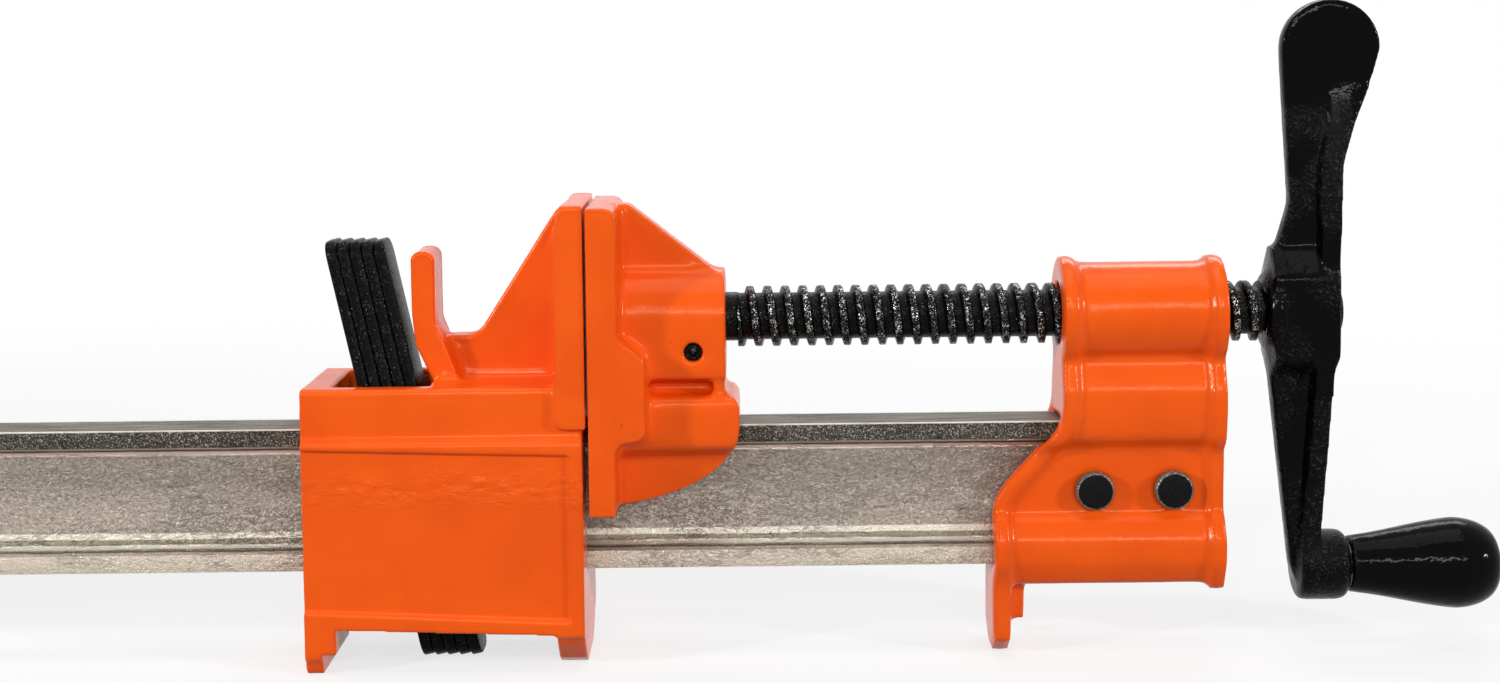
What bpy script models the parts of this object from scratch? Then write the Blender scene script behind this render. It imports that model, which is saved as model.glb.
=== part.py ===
"""An I-bar clamp, in metres, +Z up and +X towards the crank.

The origin is the middle of the underside of the tailstock's foot. The jaws are closed, and the bar runs to -X.
Heights are taken from the bar, which sets where both jaws, the tailstock and the screw sit.
"""

import math

import bmesh
import bpy
from mathutils import Matrix, Vector

MM = 0.001

# Clearances and what joined or cut shapes share
SEAT_GAP = 0.3 * MM
RUNNING_GAP = 0.4 * MM
OVERRUN = 6.0 * MM
SINK = 0.8 * MM

# Rolled bar
BAR_HEIGHT = 41.3 * MM
BAR_FLANGE_WIDTH = 15.9 * MM
BAR_FLANGE_EDGE = 5.0 * MM
BAR_FLANGE_ROOT = 6.3 * MM
BAR_FILLET = 2.4 * MM
BAR_WEB = 5.0 * MM
BAR_FLOOR_GAP = 26.5 * MM
BAR_TAIL_INSET = 2.7 * MM

# Widest opening between the jaw faces, and the gap between them at rest
OPENING = 610.0 * MM
JAW_GAP = 0.6 * MM

# Stop pin across the bar's far end
STOP_PIN_RADIUS = 3.2 * MM
STOP_PIN_LENGTH = 24.0 * MM
STOP_PIN_END_MARGIN = 7.0 * MM

# Power screw
SCREW_OVER_BAR = 30.1 * MM
SCREW_CREST_RADIUS = 8.73 * MM
SCREW_ROOT_RADIUS = 6.75 * MM
SCREW_PITCH = 5.08 * MM
SCREW_CREST_FLAT = 1.75 * MM
SCREW_FLANK = 0.55 * MM
SCREW_TURNS_OF_TRAVEL = 16
SCREW_NECK_RADIUS = 7.0 * MM
SCREW_NECK_LENGTH = 3.4 * MM
SCREW_NOSE_TIP_RADIUS = 5.2 * MM
SCREW_NOSE_TAPER = 3.0 * MM
SCREW_GROOVE_RADIUS = 5.5 * MM
SCREW_GROOVE_WIDTH = 6.0 * MM
TENON_SIDE = 9.6 * MM
TENON_HEAD_RADIUS = 7.0 * MM
TENON_HEAD_HEIGHT = 1.2 * MM
TENON_HEAD_CROWN = 0.6 * MM

# Tailstock
TAIL_LENGTH = 46.8 * MM
TAIL_SETBACK = 17.2 * MM
TAIL_BOSS_RADIUS = 14.6 * MM
TAIL_CREASE_HALF = 8.5 * MM
TAIL_SLEEVE_WALL = 4.2 * MM
TAIL_WEB_WALL = 4.7 * MM
TAIL_SHOULDER_UP = 9.0 * MM
TAIL_SHOULDER_LOW = 1.7 * MM
TAIL_TUCK = 0.8 * MM
TAIL_TUCK_DROP = 4.3 * MM
TAIL_RECESS_TOP_DROP = 8.6 * MM
TAIL_RECESS_FOOT_RISE = 14.0 * MM
TAIL_LEDGE_OUT = 2.4 * MM
TAIL_LEDGE_RISE = 12.4 * MM
TAIL_LOWER_TOP_RISE = 7.0 * MM
TAIL_LOWER_FOOT_RISE = 0.5 * MM
TAIL_UNDER_WALL = 6.3 * MM
TAIL_UNDER_HALF = 9.0 * MM
TAIL_ROUNDING = 2.2 * MM
TAIL_RIM_PROUD = 1.9 * MM
TAIL_RIM_WIDTH = 4.6 * MM
TAIL_SWEEP_FOOT_RISE = 14.5 * MM
TAIL_SWEEP_TOP_RISE = 3.9 * MM
TAIL_FOOT_THICKNESS = 5.4 * MM
TAIL_FOOT_WIDTH = 23.4 * MM
TAIL_FOOT_FLAT = 8.4 * MM
TAIL_FOOT_CHAMFER_HEIGHT = 5.0 * MM
TAIL_RIB_LENGTH = 4.5 * MM
TAIL_RIB_WIDTH = 10.0 * MM
TAIL_RIB_FLOOR_GAP = 9.1 * MM

# Rivets through the tailstock and the bar's web
RIVET_SHANK_RADIUS = 3.9 * MM
RIVET_HEAD_RADIUS = 5.55 * MM
RIVET_HEAD_HEIGHT = 3.0 * MM
RIVET_HEAD_EDGE = 0.6 * MM
RIVET_INSET = 9.6 * MM
RIVET_SPACING = 22.6 * MM
RIVET_OVER_MIDDLE = 0.5 * MM

# Sliding jaw
SLIDER_LENGTH = 80.1 * MM
SLIDER_END_INSET = 1.0 * MM
SLIDER_WIDTH = 44.7 * MM
SLIDER_SHOULDER_INSET = 2.0 * MM
SLIDER_TOP_OVER_BAR = 13.4 * MM
SLIDER_SHOULDER_DROP = 0.2 * MM
SLIDER_SHOULDER_SLOPE = 2.2 * MM
SLIDER_SKIRT_FLOOR_GAP = 13.0 * MM
SLIDER_SKIRT_RIGHT_FLOOR_GAP = 10.8 * MM
SLIDER_SIDE_WALL = 5.4 * MM
SLIDER_LEFT_WALL = 4.9 * MM
SLIDER_RIGHT_WALL = 8.0 * MM
SLIDER_ROOF_GAP = 6.2 * MM
SLIDER_WINDOW_GAP = 0.45 * MM
SLIDER_LEFT_STEP_LENGTH = 4.0 * MM
SLIDER_LEFT_STEP_FLOOR_GAP = 6.0 * MM
SLIDER_RIGHT_FOOT_INSET = 13.35 * MM
SLIDER_LEFT_FOOT_INSET = 3.35 * MM
SLIDER_LEFT_FOOT_RISE = 5.0 * MM
SLIDER_RIGHT_FOOT_RISE = 10.5 * MM
SLIDER_EDGE_ROUNDING = 1.6 * MM

# Recessed panel on the sliding jaw's sides
PANEL_DEPTH = 0.9 * MM
PANEL_TOP_DROP = 3.2 * MM
PANEL_TOP_RIGHT_DROP = 5.6 * MM
PANEL_RIM_BOTTOM = 5.4 * MM
PANEL_RIM_BOTTOM_RIGHT = 3.8 * MM
PANEL_RIM_RIGHT = 3.6 * MM

# Jaw plate, web and finger lug of the sliding jaw
PLATE_TOP_OVER_BAR = 64.5 * MM
PLATE_FOOT_OVER_BAR = 1.6 * MM
PLATE_TIP_THICKNESS = 7.2 * MM
PLATE_ROOT_THICKNESS = 8.7 * MM
PLATE_ROUNDING = 2.5 * MM
WEB_THICKNESS = 7.5 * MM
WEB_TOP_DROP = 1.2 * MM
WEB_KNEE_REACH = 8.8 * MM
WEB_KNEE_DROP = 2.8 * MM
WEB_SADDLE_REACH = 31.8 * MM
WEB_SADDLE_RISE = 26.0 * MM
WEB_SADDLE_ROUNDING = 4.5 * MM
LUG_REACH = 43.1 * MM
LUG_THICKNESS = 6.8 * MM
LUG_WIDTH = 17.0 * MM
LUG_TOP_RISE = 50.7 * MM
LUG_ROUNDING = 2.6 * MM
LUG_KNEE_RISE = 24.0 * MM
LUG_RELIEF = 0.9 * MM
LUG_STRAIGHT_RISE = 33.0 * MM
LUG_FLARE = 6.2 * MM
LUG_FLARE_RIGHT = 7.0 * MM

# Slot for the clutch discs
SLOT_REACH = 44.4 * MM
SLOT_LENGTH = 27.6 * MM
SLOT_SIDE_GAP = 0.8 * MM
NIB_OVER_BAR = 0.8 * MM
NIB_LENGTH = 5.0 * MM

# Clutch discs
DISC_COUNT = 5
DISC_THICKNESS = 3.175 * MM
DISC_SPACING = 3.47 * MM
DISC_TILT_DEGREES = 12.1
DISC_BAR_GAP = 0.25 * MM
DISC_SIDE_GAP = 0.55 * MM
DISC_WALL_GAP = 2.95 * MM
DISC_BODY_SHOULDER = 11.6 * MM
DISC_BODY_FOOT = 6.6 * MM
DISC_TAB_WIDTH = 15.0 * MM
DISC_TOP_LENGTH = 54.3 * MM
DISC_FOOT_LENGTH = 69.2 * MM
DISC_TAB_ROUNDING = 4.6 * MM
DISC_BODY_ROUNDING = 2.0 * MM

# Clutch spring
SPRING_WIRE_RADIUS = 0.55 * MM
SPRING_RADIUS = 3.7 * MM
SPRING_TURNS = 7
SPRING_POINTS_PER_TURN = 10
SPRING_UNDER_BAR = 3.15 * MM

# Pressure jaw
PRESSURE_REACH = 117.1 * MM
PRESSURE_SIDE_INSET = 0.35 * MM
PRESSURE_PLATE_TOP_OVER_BAR = 63.7 * MM
PRESSURE_PLATE_THICKNESS = 8.8 * MM
PRESSURE_PLATE_FOOT_THICKNESS = 7.8 * MM
PRESSURE_PLATE_BAR_DROP = 23.6 * MM
PAD_THICKNESS = 16.4 * MM
PAD_TOP_RISE = 23.4 * MM
PAD_SLOPE_TOP_RISE = 26.8 * MM
PAD_FOOT_DROP = 1.8 * MM
PAD_ROUNDING = 2.8 * MM
PRESSURE_RIB_THICKNESS = 8.0 * MM
PRESSURE_RIB_LEDGE = 11.3 * MM
PRESSURE_LENGTH = 38.9 * MM
BOSS_RADIUS = 14.4 * MM
BOSS_FLOOR_OVER_BAR = 13.7 * MM
BOSS_ROUNDING = 1.8 * MM
BOSS_BORE_GAP = 0.35 * MM
BOSS_BORE_END_WALL = 12.0 * MM
SADDLE_LENGTH = 42.6 * MM
SADDLE_WALL = 6.9 * MM
SADDLE_ROOF = 9.2 * MM
SADDLE_ROUNDING = 2.6 * MM
SADDLE_CREASE_DROP = 8.8 * MM
SADDLE_TUCK_DROP = 5.4 * MM
SADDLE_SKIRT_WALL = 5.6 * MM
SADDLE_NECK_HALF = 7.0 * MM
UNDERCUT_END_WALL = 3.6 * MM
SADDLE_END_HALF = 13.0 * MM

# Roll pin that keeps the screw's nose in the pressure jaw
NOSE_PIN_RADIUS = 2.35 * MM
NOSE_PIN_BORE = 1.2 * MM
NOSE_PIN_DROP = 8.3 * MM
NOSE_PIN_INSET = 9.3 * MM
NOSE_PIN_SUNK = 0.8 * MM

# Crank, from the screw's axis and the crank's left end
CRANK_STANDOFF = 11.9 * MM
CRANK_WEB_THICKNESS = 6.6 * MM
COLLAR_TIP_RADIUS = 10.4 * MM
COLLAR_RADIUS = 13.0 * MM
COLLAR_LENGTH = 4.0 * MM
HUB_LENGTH = 21.0 * MM
HUB_HALF_WIDTH = 10.0 * MM
HUB_RISE = 10.6 * MM
HUB_DROP = 12.8 * MM
HUB_RAMP_RISE = 18.6 * MM
HUB_RAMP_DROP = 18.4 * MM
FLANGE_THICKNESS = 5.7 * MM
FLANGE_HUB_HALF = 9.4 * MM
FLANGE_END_HALF = 8.2 * MM
LOBE_RADIUS = 14.2 * MM
LOBE_RISE = 75.2 * MM
LOBE_REACH = 18.8 * MM
WAIST_RISE = 31.0 * MM
WAIST_LEFT = 7.4 * MM
WAIST_RIGHT = 21.4 * MM
SHOULDER_RISE = 15.5 * MM
SHOULDER_LEFT = 2.9 * MM
ARM_RIGHT_AT_HUB = 19.9 * MM
ARM_RIGHT_AT_GRIP = 16.3 * MM
ARM_LEFT_AT_HUB = 1.4 * MM
ARM_LEFT_AT_GRIP = 8.5 * MM
ARM_END_DROP = 84.4 * MM
ARM_END_ROUNDING = 3.4 * MM
LOBE_THROAT_RISE = 42.0 * MM
LOBE_THROAT_RIGHT = 22.9 * MM
LOBE_CHEEK_RISE = 65.0 * MM
LOBE_CHEEK_RIGHT = 30.6 * MM

# Grip and the pin that it turns on
GRIP_THROW = 74.5 * MM
GRIP_BOSS_RADIUS = 10.2 * MM
GRIP_BOSS_LENGTH = 8.8 * MM
GRIP_BOSS_CHAMFER = 1.8 * MM
GRIP_LENGTH = 42.8 * MM
GRIP_NECK_RADIUS = 8.1 * MM
GRIP_BELLY_RADIUS = 13.1 * MM
GRIP_END_FLAT_RADIUS = 6.1 * MM
GRIP_BELLY_SHARE = 0.72
GRIP_PROFILE_STEPS = 14
GRIP_RUNNING_GAP = 0.35 * MM
GRIP_RECESS_RADIUS = 5.6 * MM
GRIP_RECESS_DEPTH = 3.2 * MM
GRIP_PIN_RADIUS = 3.1 * MM
GRIP_PIN_HEAD_RADIUS = 4.9 * MM
GRIP_PIN_HEAD_HEIGHT = 2.2 * MM

# How finely round shapes are divided
ROUND_SIDES = 40
SMALL_SIDES = 24
THREAD_SIDES = 16
FILLET_STEPS = 3

# Places that follow from the sizes
BAR_UNDER_Z = BAR_FLOOR_GAP
BAR_TOP_Z = BAR_FLOOR_GAP + BAR_HEIGHT
BAR_MIDDLE_Z = BAR_FLOOR_GAP + BAR_HEIGHT / 2
RIVET_Z = BAR_MIDDLE_Z + RIVET_OVER_MIDDLE
SCREW_Z = BAR_TOP_Z + SCREW_OVER_BAR
SCREW_TRAVEL = SCREW_PITCH * SCREW_TURNS_OF_TRAVEL
TAIL_LEFT_X = TAIL_SETBACK
TAIL_RIGHT_X = TAIL_SETBACK + TAIL_LENGTH
BAR_RIGHT_X = TAIL_RIGHT_X - BAR_TAIL_INSET
PRESSURE_X = -PRESSURE_REACH
PRESSURE_END_X = PRESSURE_X + PRESSURE_LENGTH
SLIDER_X = PRESSURE_X - JAW_GAP
SLIDER_LEFT_X = SLIDER_X - SLIDER_LENGTH
SLIDER_TRAVEL = OPENING - SCREW_TRAVEL - JAW_GAP
STOP_PIN_X = SLIDER_LEFT_X - SLIDER_TRAVEL - SEAT_GAP - STOP_PIN_RADIUS
BAR_LEFT_X = STOP_PIN_X - STOP_PIN_END_MARGIN
CRANK_X = TAIL_RIGHT_X + CRANK_STANDOFF
THREAD_LEFT_X = PRESSURE_END_X + SCREW_NECK_LENGTH
THREAD_RIGHT_X = CRANK_X - SEAT_GAP
GRIP_Z = SCREW_Z - GRIP_THROW
DISC_TILT = math.radians(DISC_TILT_DEGREES)
DISC_PIVOT_Z = BAR_TOP_Z + NIB_OVER_BAR
DISC_BODY_WIDTH = SLIDER_WIDTH - 2 * (SLIDER_SIDE_WALL + DISC_WALL_GAP)
SLOT_WIDTH = DISC_BODY_WIDTH + 2 * SLOT_SIDE_GAP
PRESSURE_WIDTH = SLIDER_WIDTH - 2 * PRESSURE_SIDE_INSET
NIB_X = SLIDER_X - SLOT_REACH - DISC_SPACING / 2
SLIDER_ROOF_Z = BAR_TOP_Z + SLIDER_ROOF_GAP
SLIDER_TOP_Z = BAR_TOP_Z + SLIDER_TOP_OVER_BAR


def clear_scene():
    for obj in list(bpy.data.objects):
        bpy.data.objects.remove(obj, do_unlink=True)


def new_collection(name):
    collection = bpy.data.collections.new(name)
    bpy.context.scene.collection.children.link(collection)
    return collection


def material(name, color, metallic, roughness):
    made = bpy.data.materials.new(name)
    made.use_nodes = True
    shader = made.node_tree.nodes["Principled BSDF"]
    shader.inputs["Base Color"].default_value = (*color, 1.0)
    shader.inputs["Metallic"].default_value = metallic
    shader.inputs["Roughness"].default_value = roughness
    made.diffuse_color = (*color, 1.0)
    return made


def new_object(name, bm, collection, finish=None):
    """Gives a bmesh its object, with outward normals and smooth round faces."""
    bmesh.ops.recalc_face_normals(bm, faces=bm.faces)
    mesh = bpy.data.meshes.new(name)
    bm.to_mesh(mesh)
    bm.free()
    mesh.shade_smooth()
    mesh.set_sharp_from_angle(angle=math.radians(35))
    obj = bpy.data.objects.new(name, mesh)
    collection.objects.link(obj)
    if finish:
        mesh.materials.append(finish)
    return obj


def part(name, bm, finish):
    return new_object(name, bm, PARTS, finish)


def helper(name, bm):
    """A shape that only cuts or joins, and isn't itself part of the clamp."""
    obj = new_object(name, bm, HELPERS)
    obj.hide_render = True
    obj.display_type = "WIRE"
    return obj


def combine(target, other, operation):
    modifier = target.modifiers.new(other.name, "BOOLEAN")
    modifier.object = other
    modifier.operation = operation
    modifier.solver = "EXACT"


def cut(target, name, bm):
    combine(target, helper(name, bm), "DIFFERENCE")


def join(target, name, bm):
    combine(target, helper(name, bm), "UNION")


def arc(centre, radius, start, end, steps):
    """Points of an arc between two angles in degrees, both ends included."""
    angles = [math.radians(start + (end - start) * i / steps) for i in range(steps + 1)]
    return [(centre[0] + radius * math.cos(a), centre[1] + radius * math.sin(a)) for a in angles]


def rounded(outline, radius, steps=FILLET_STEPS, sharp=()):
    """The closed outline with a fillet at each corner that isn't listed as sharp."""
    made = []
    count = len(outline)
    for i, point in enumerate(outline):
        here = Vector(point)
        back = Vector(outline[i - 1]) - here
        on = Vector(outline[(i + 1) % count]) - here
        turn = back.angle(on)
        if i in sharp or turn > math.radians(176):
            made.append(tuple(here))
            continue
        reach = min(radius / math.tan(turn / 2), back.length * 0.48, on.length * 0.48)
        fillet = reach * math.tan(turn / 2)
        centre = here + (back.normalized() + on.normalized()).normalized() * (fillet / math.sin(turn / 2))
        first = here + back.normalized() * reach - centre
        last = here + on.normalized() * reach - centre
        swing = first.angle_signed(last)
        for step in range(steps + 1):
            turned = first.copy()
            turned.rotate(Matrix.Rotation(-swing * step / steps, 2))
            made.append(tuple(centre + turned))
    return made


def mirrored(half):
    """A closed outline from its half at positive first coordinate, listed from top to bottom."""
    other = [(-a, b) for a, b in reversed(half) if a > 0]
    return list(half) + other


def offset(path, distance):
    """An open path moved sideways, to the right of its direction where distance is positive."""
    moved = []
    for i, point in enumerate(path):
        before = Vector(path[max(i - 1, 0)])
        after = Vector(path[min(i + 1, len(path) - 1)])
        along = (after - before).normalized()
        moved.append((point[0] + along.y * distance, point[1] - along.x * distance))
    return moved


def grown(outline, distance):
    """The closed outline, listed clockwise, with every side moved out by the distance."""
    made = []
    count = len(outline)
    for i, point in enumerate(outline):
        back = (Vector(point) - Vector(outline[i - 1])).normalized()
        on = (Vector(outline[(i + 1) % count]) - Vector(point)).normalized()
        normal = Vector((-back.y - on.y, back.x + on.x)).normalized()
        stretch = 1 / max(normal.dot(Vector((-on.y, on.x))), 0.5)
        made.append((point[0] + normal.x * distance * stretch, point[1] + normal.y * distance * stretch))
    return made


def placed(axis, a, b, along):
    """A point of an outline, on the plane across the axis, as x, y and z."""
    if axis == "X":
        return (along, a, b)
    if axis == "Y":
        return (a, along, b)
    return (a, b, along)


def prism(outline, axis, low, high, holes=()):
    """A flat outline, with any holes, extruded along the axis from low to high."""
    bm = bmesh.new()
    edges = []
    for loop in [outline, *holes]:
        verts = [bm.verts.new(placed(axis, a, b, low)) for a, b in loop]
        edges += [bm.edges.new((verts[i - 1], verts[i])) for i in range(len(verts))]
    if holes:
        bmesh.ops.triangle_fill(bm, use_beauty=True, edges=edges)
    else:
        bmesh.ops.contextual_create(bm, geom=edges)
    made = bmesh.ops.extrude_face_region(bm, geom=bm.faces[:], use_keep_orig=True)
    top = [item for item in made["geom"] if isinstance(item, bmesh.types.BMVert)]
    bmesh.ops.translate(bm, verts=top, vec=Vector(placed(axis, 0, 0, high - low)))
    return bm


def box(low, high):
    bm = bmesh.new()
    bmesh.ops.create_cube(bm, size=1)
    size = Vector(high) - Vector(low)
    bmesh.ops.scale(bm, verts=bm.verts, vec=size)
    bmesh.ops.translate(bm, verts=bm.verts, vec=(Vector(high) + Vector(low)) / 2)
    return bm


def rod(axis, start, end, radius, end_radius=None, sides=SMALL_SIDES):
    """A cylinder or a cone between two points on a line along the axis."""
    bm = bmesh.new()
    length = (Vector(end) - Vector(start)).length
    tip = radius if end_radius is None else end_radius
    bmesh.ops.create_cone(
        bm, cap_ends=True, segments=sides, radius1=radius, radius2=tip, depth=length
    )
    turn = {"X": Matrix.Rotation(math.pi / 2, 3, "Y"), "Y": Matrix.Rotation(-math.pi / 2, 3, "X")}
    if axis in turn:
        bmesh.ops.rotate(bm, verts=bm.verts, matrix=turn[axis])
    bmesh.ops.translate(bm, verts=bm.verts, vec=(Vector(start) + Vector(end)) / 2)
    return bm


def turned(profile, axis, place, sides=ROUND_SIDES):
    """A turned solid: (distance along the axis, radius) points, from one end on the axis to the other."""
    bm = bmesh.new()
    verts = [bm.verts.new((along, 0, radius)) for along, radius in profile]
    edges = [bm.edges.new(pair) for pair in zip(verts, verts[1:])]
    bmesh.ops.spin(
        bm, geom=verts + edges, cent=(0, 0, 0), axis=(1, 0, 0),
        angle=2 * math.pi, steps=sides, use_merge=True,
    )
    bmesh.ops.remove_doubles(bm, verts=bm.verts, dist=SEAT_GAP / 100)
    if axis == "Y":
        bmesh.ops.rotate(bm, verts=bm.verts, matrix=Matrix.Rotation(math.pi / 2, 3, "Z"))
    bmesh.ops.translate(bm, verts=bm.verts, vec=place)
    return bm


def bar_outline(gap=0.0):
    """The I-section across the bar, in (y, z), grown by a clearance."""
    flange = BAR_FLANGE_WIDTH / 2 + gap
    web = BAR_WEB / 2 + gap
    half_height = BAR_HEIGHT / 2 + gap
    edge = half_height - BAR_FLANGE_EDGE - 2 * gap
    root = half_height - BAR_FLANGE_ROOT - 2 * gap
    fillet = arc((web + BAR_FILLET, root - BAR_FILLET), BAR_FILLET, 90, 180, FILLET_STEPS)
    upper = [(flange, half_height), (flange, edge), *fillet]
    half = upper + [(y, -z) for y, z in reversed(upper)]
    return [(y, BAR_MIDDLE_Z + z) for y, z in mirrored(half)]


def make_bar():
    bar = part("i_bar", prism(bar_outline(), "X", BAR_LEFT_X, BAR_RIGHT_X), PLATED)
    for x in rivet_places():
        cut(bar, "bar_rivet_hole", rivet_hole(x))
    cut(bar, "stop_pin_hole", rod(
        "Y",
        (STOP_PIN_X, -BAR_FLANGE_WIDTH, BAR_MIDDLE_Z),
        (STOP_PIN_X, BAR_FLANGE_WIDTH, BAR_MIDDLE_Z),
        STOP_PIN_RADIUS + SEAT_GAP,
    ))


def make_stop_pin():
    half = STOP_PIN_LENGTH / 2
    edge = STOP_PIN_RADIUS / 6
    profile = [
        (-half, 0), (-half, STOP_PIN_RADIUS - edge), (-half + edge, STOP_PIN_RADIUS),
        (half - edge, STOP_PIN_RADIUS), (half, STOP_PIN_RADIUS - edge), (half, 0),
    ]
    part("bar_stop_pin", turned(profile, "Y", (STOP_PIN_X, 0, BAR_MIDDLE_Z), SMALL_SIDES), PLATED)


def tail_half_profile():
    """Half of the tailstock's wavy section, from the top of the screw boss to its underside."""
    sleeve = BAR_FLANGE_WIDTH / 2 + TAIL_SLEEVE_WALL
    recess = BAR_WEB / 2 + TAIL_WEB_WALL
    crease = -math.degrees(math.acos(TAIL_CREASE_HALF / TAIL_BOSS_RADIUS))
    boss = [(0, SCREW_Z + TAIL_BOSS_RADIUS)]
    boss += arc((0, SCREW_Z), TAIL_BOSS_RADIUS, 90, crease, ROUND_SIDES // 3)[1:]
    corners = [
        boss[-1],
        (sleeve, BAR_TOP_Z + TAIL_SHOULDER_UP),
        (sleeve, BAR_TOP_Z + TAIL_SHOULDER_LOW),
        (sleeve - TAIL_TUCK, BAR_TOP_Z - TAIL_TUCK_DROP),
        (recess, BAR_TOP_Z - TAIL_RECESS_TOP_DROP),
        (recess, BAR_UNDER_Z + TAIL_RECESS_FOOT_RISE),
        (recess + TAIL_LEDGE_OUT, BAR_UNDER_Z + TAIL_LEDGE_RISE),
        (sleeve, BAR_UNDER_Z + TAIL_LOWER_TOP_RISE),
        (sleeve, BAR_UNDER_Z + TAIL_LOWER_FOOT_RISE),
        (TAIL_UNDER_HALF, BAR_UNDER_Z - TAIL_UNDER_WALL),
        (0, BAR_UNDER_Z - TAIL_UNDER_WALL),
    ]
    lower = rounded(corners, TAIL_ROUNDING, sharp=(0, len(corners) - 1))
    return boss[:-1] + lower


def tail_sweep():
    """The S-shaped left edge of the tailstock, in (x, z), from the foot up to the boss."""
    low = BAR_UNDER_Z + TAIL_SWEEP_FOOT_RISE
    high = BAR_TOP_Z + TAIL_SWEEP_TOP_RISE
    foot = SEAT_GAP - TAIL_FOOT_THICKNESS / 2
    steps = 12
    points = []
    for i in range(steps + 1):
        t = i / steps
        ease = t * t * (3 - 2 * t)
        points.append((foot + (TAIL_LEFT_X - foot) * ease, low + (high - low) * t))
    return points


def make_tailstock():
    half = tail_half_profile()
    profile = mirrored(half)
    rim_profile = grown(profile, TAIL_RIM_PROUD)
    under = BAR_UNDER_Z - TAIL_UNDER_WALL - TAIL_RIM_PROUD - OVERRUN
    top = SCREW_Z + TAIL_BOSS_RADIUS + TAIL_RIM_PROUD + OVERRUN
    foot_x = TAIL_FOOT_THICKNESS / 2
    sweep = tail_sweep()
    outer = [(sweep[0][0], under), *sweep, (sweep[-1][0], top)]
    inner = offset(outer, TAIL_RIM_WIDTH)
    core_edge = offset(outer, SEAT_GAP)
    wide = TAIL_SLEEVE_WALL + TAIL_BOSS_RADIUS + TAIL_RIM_PROUD + OVERRUN
    body = part(
        "tailstock",
        prism(profile, "X", -foot_x - OVERRUN, TAIL_RIGHT_X - SEAT_GAP),
        ENAMEL,
    )
    core = [*core_edge, (TAIL_RIGHT_X + OVERRUN, top), (TAIL_RIGHT_X + OVERRUN, under)]
    combine(body, helper("tail_sweep_core", prism(core, "Y", -wide, wide)), "INTERSECT")
    left_rim = helper(
        "tail_left_rim",
        prism(rim_profile, "X", -foot_x - OVERRUN, TAIL_LEFT_X + TAIL_RIM_WIDTH + OVERRUN),
    )
    band = prism([*outer, *reversed(inner)], "Y", -wide, wide)
    combine(left_rim, helper("tail_sweep_band", band), "INTERSECT")
    combine(body, left_rim, "UNION")
    join(body, "tail_right_rim", prism(rim_profile, "X", TAIL_RIGHT_X - TAIL_RIM_WIDTH, TAIL_RIGHT_X))
    join(body, "tail_foot", tail_foot())
    join(body, "tail_rib", box(
        (foot_x - SINK, -TAIL_RIB_WIDTH / 2, TAIL_RIB_FLOOR_GAP),
        (foot_x + TAIL_RIB_LENGTH, TAIL_RIB_WIDTH / 2, BAR_UNDER_Z - TAIL_UNDER_WALL / 2),
    ))
    cut(body, "tail_bar_window", prism(
        bar_outline(SEAT_GAP), "X", -foot_x - OVERRUN, TAIL_RIGHT_X + OVERRUN,
    ))
    cut(body, "tail_screw_bore", rod(
        "X",
        (TAIL_LEFT_X - OVERRUN, 0, SCREW_Z),
        (TAIL_RIGHT_X + OVERRUN, 0, SCREW_Z),
        SCREW_CREST_RADIUS + SEAT_GAP,
        sides=ROUND_SIDES,
    ))
    for x in rivet_places():
        cut(body, "tail_rivet_hole", rivet_hole(x))


def tail_foot():
    """The tongue below the bar that the clamp stands on, narrower at the floor."""
    full = TAIL_FOOT_WIDTH / 2
    flat = TAIL_FOOT_FLAT / 2
    half = [(full, BAR_UNDER_Z - TAIL_UNDER_WALL / 2), (full, TAIL_FOOT_CHAMFER_HEIGHT), (flat, 0)]
    outline = mirrored(half)
    return prism(outline, "X", -TAIL_FOOT_THICKNESS / 2, TAIL_FOOT_THICKNESS / 2)


def rivet_places():
    first = TAIL_LEFT_X + RIVET_INSET
    return [first, first + RIVET_SPACING]


def rivet_hole(x):
    reach = BAR_WEB / 2 + TAIL_WEB_WALL + OVERRUN
    return rod(
        "Y", (x, -reach, RIVET_Z), (x, reach, RIVET_Z), RIVET_SHANK_RADIUS + SEAT_GAP
    )


def make_rivets():
    seat = BAR_WEB / 2 + TAIL_WEB_WALL + SEAT_GAP
    tip = seat + RIVET_HEAD_HEIGHT
    half = [
        (seat, RIVET_SHANK_RADIUS), (seat, RIVET_HEAD_RADIUS),
        (tip - RIVET_HEAD_EDGE, RIVET_HEAD_RADIUS), (tip, RIVET_HEAD_RADIUS - RIVET_HEAD_EDGE), (tip, 0),
    ]
    profile = [(-along, radius) for along, radius in reversed(half)] + half
    for number, x in enumerate(rivet_places(), 1):
        part(f"tail_rivet_{number}", turned(profile, "Y", (x, 0, RIVET_Z), SMALL_SIDES), BLACKENED)


def slider_section():
    """The sliding jaw's housing in section, in (y, z), with its set-back shoulders."""
    full = SLIDER_WIDTH / 2
    upper = full - SLIDER_SHOULDER_INSET
    ledge = BAR_TOP_Z - SLIDER_SHOULDER_DROP
    half = [
        (upper, SLIDER_TOP_Z), (upper, ledge), (full, ledge - SLIDER_SHOULDER_SLOPE), (full, -OVERRUN),
    ]
    return rounded(mirrored(half), SLIDER_EDGE_ROUNDING, 2)


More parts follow.
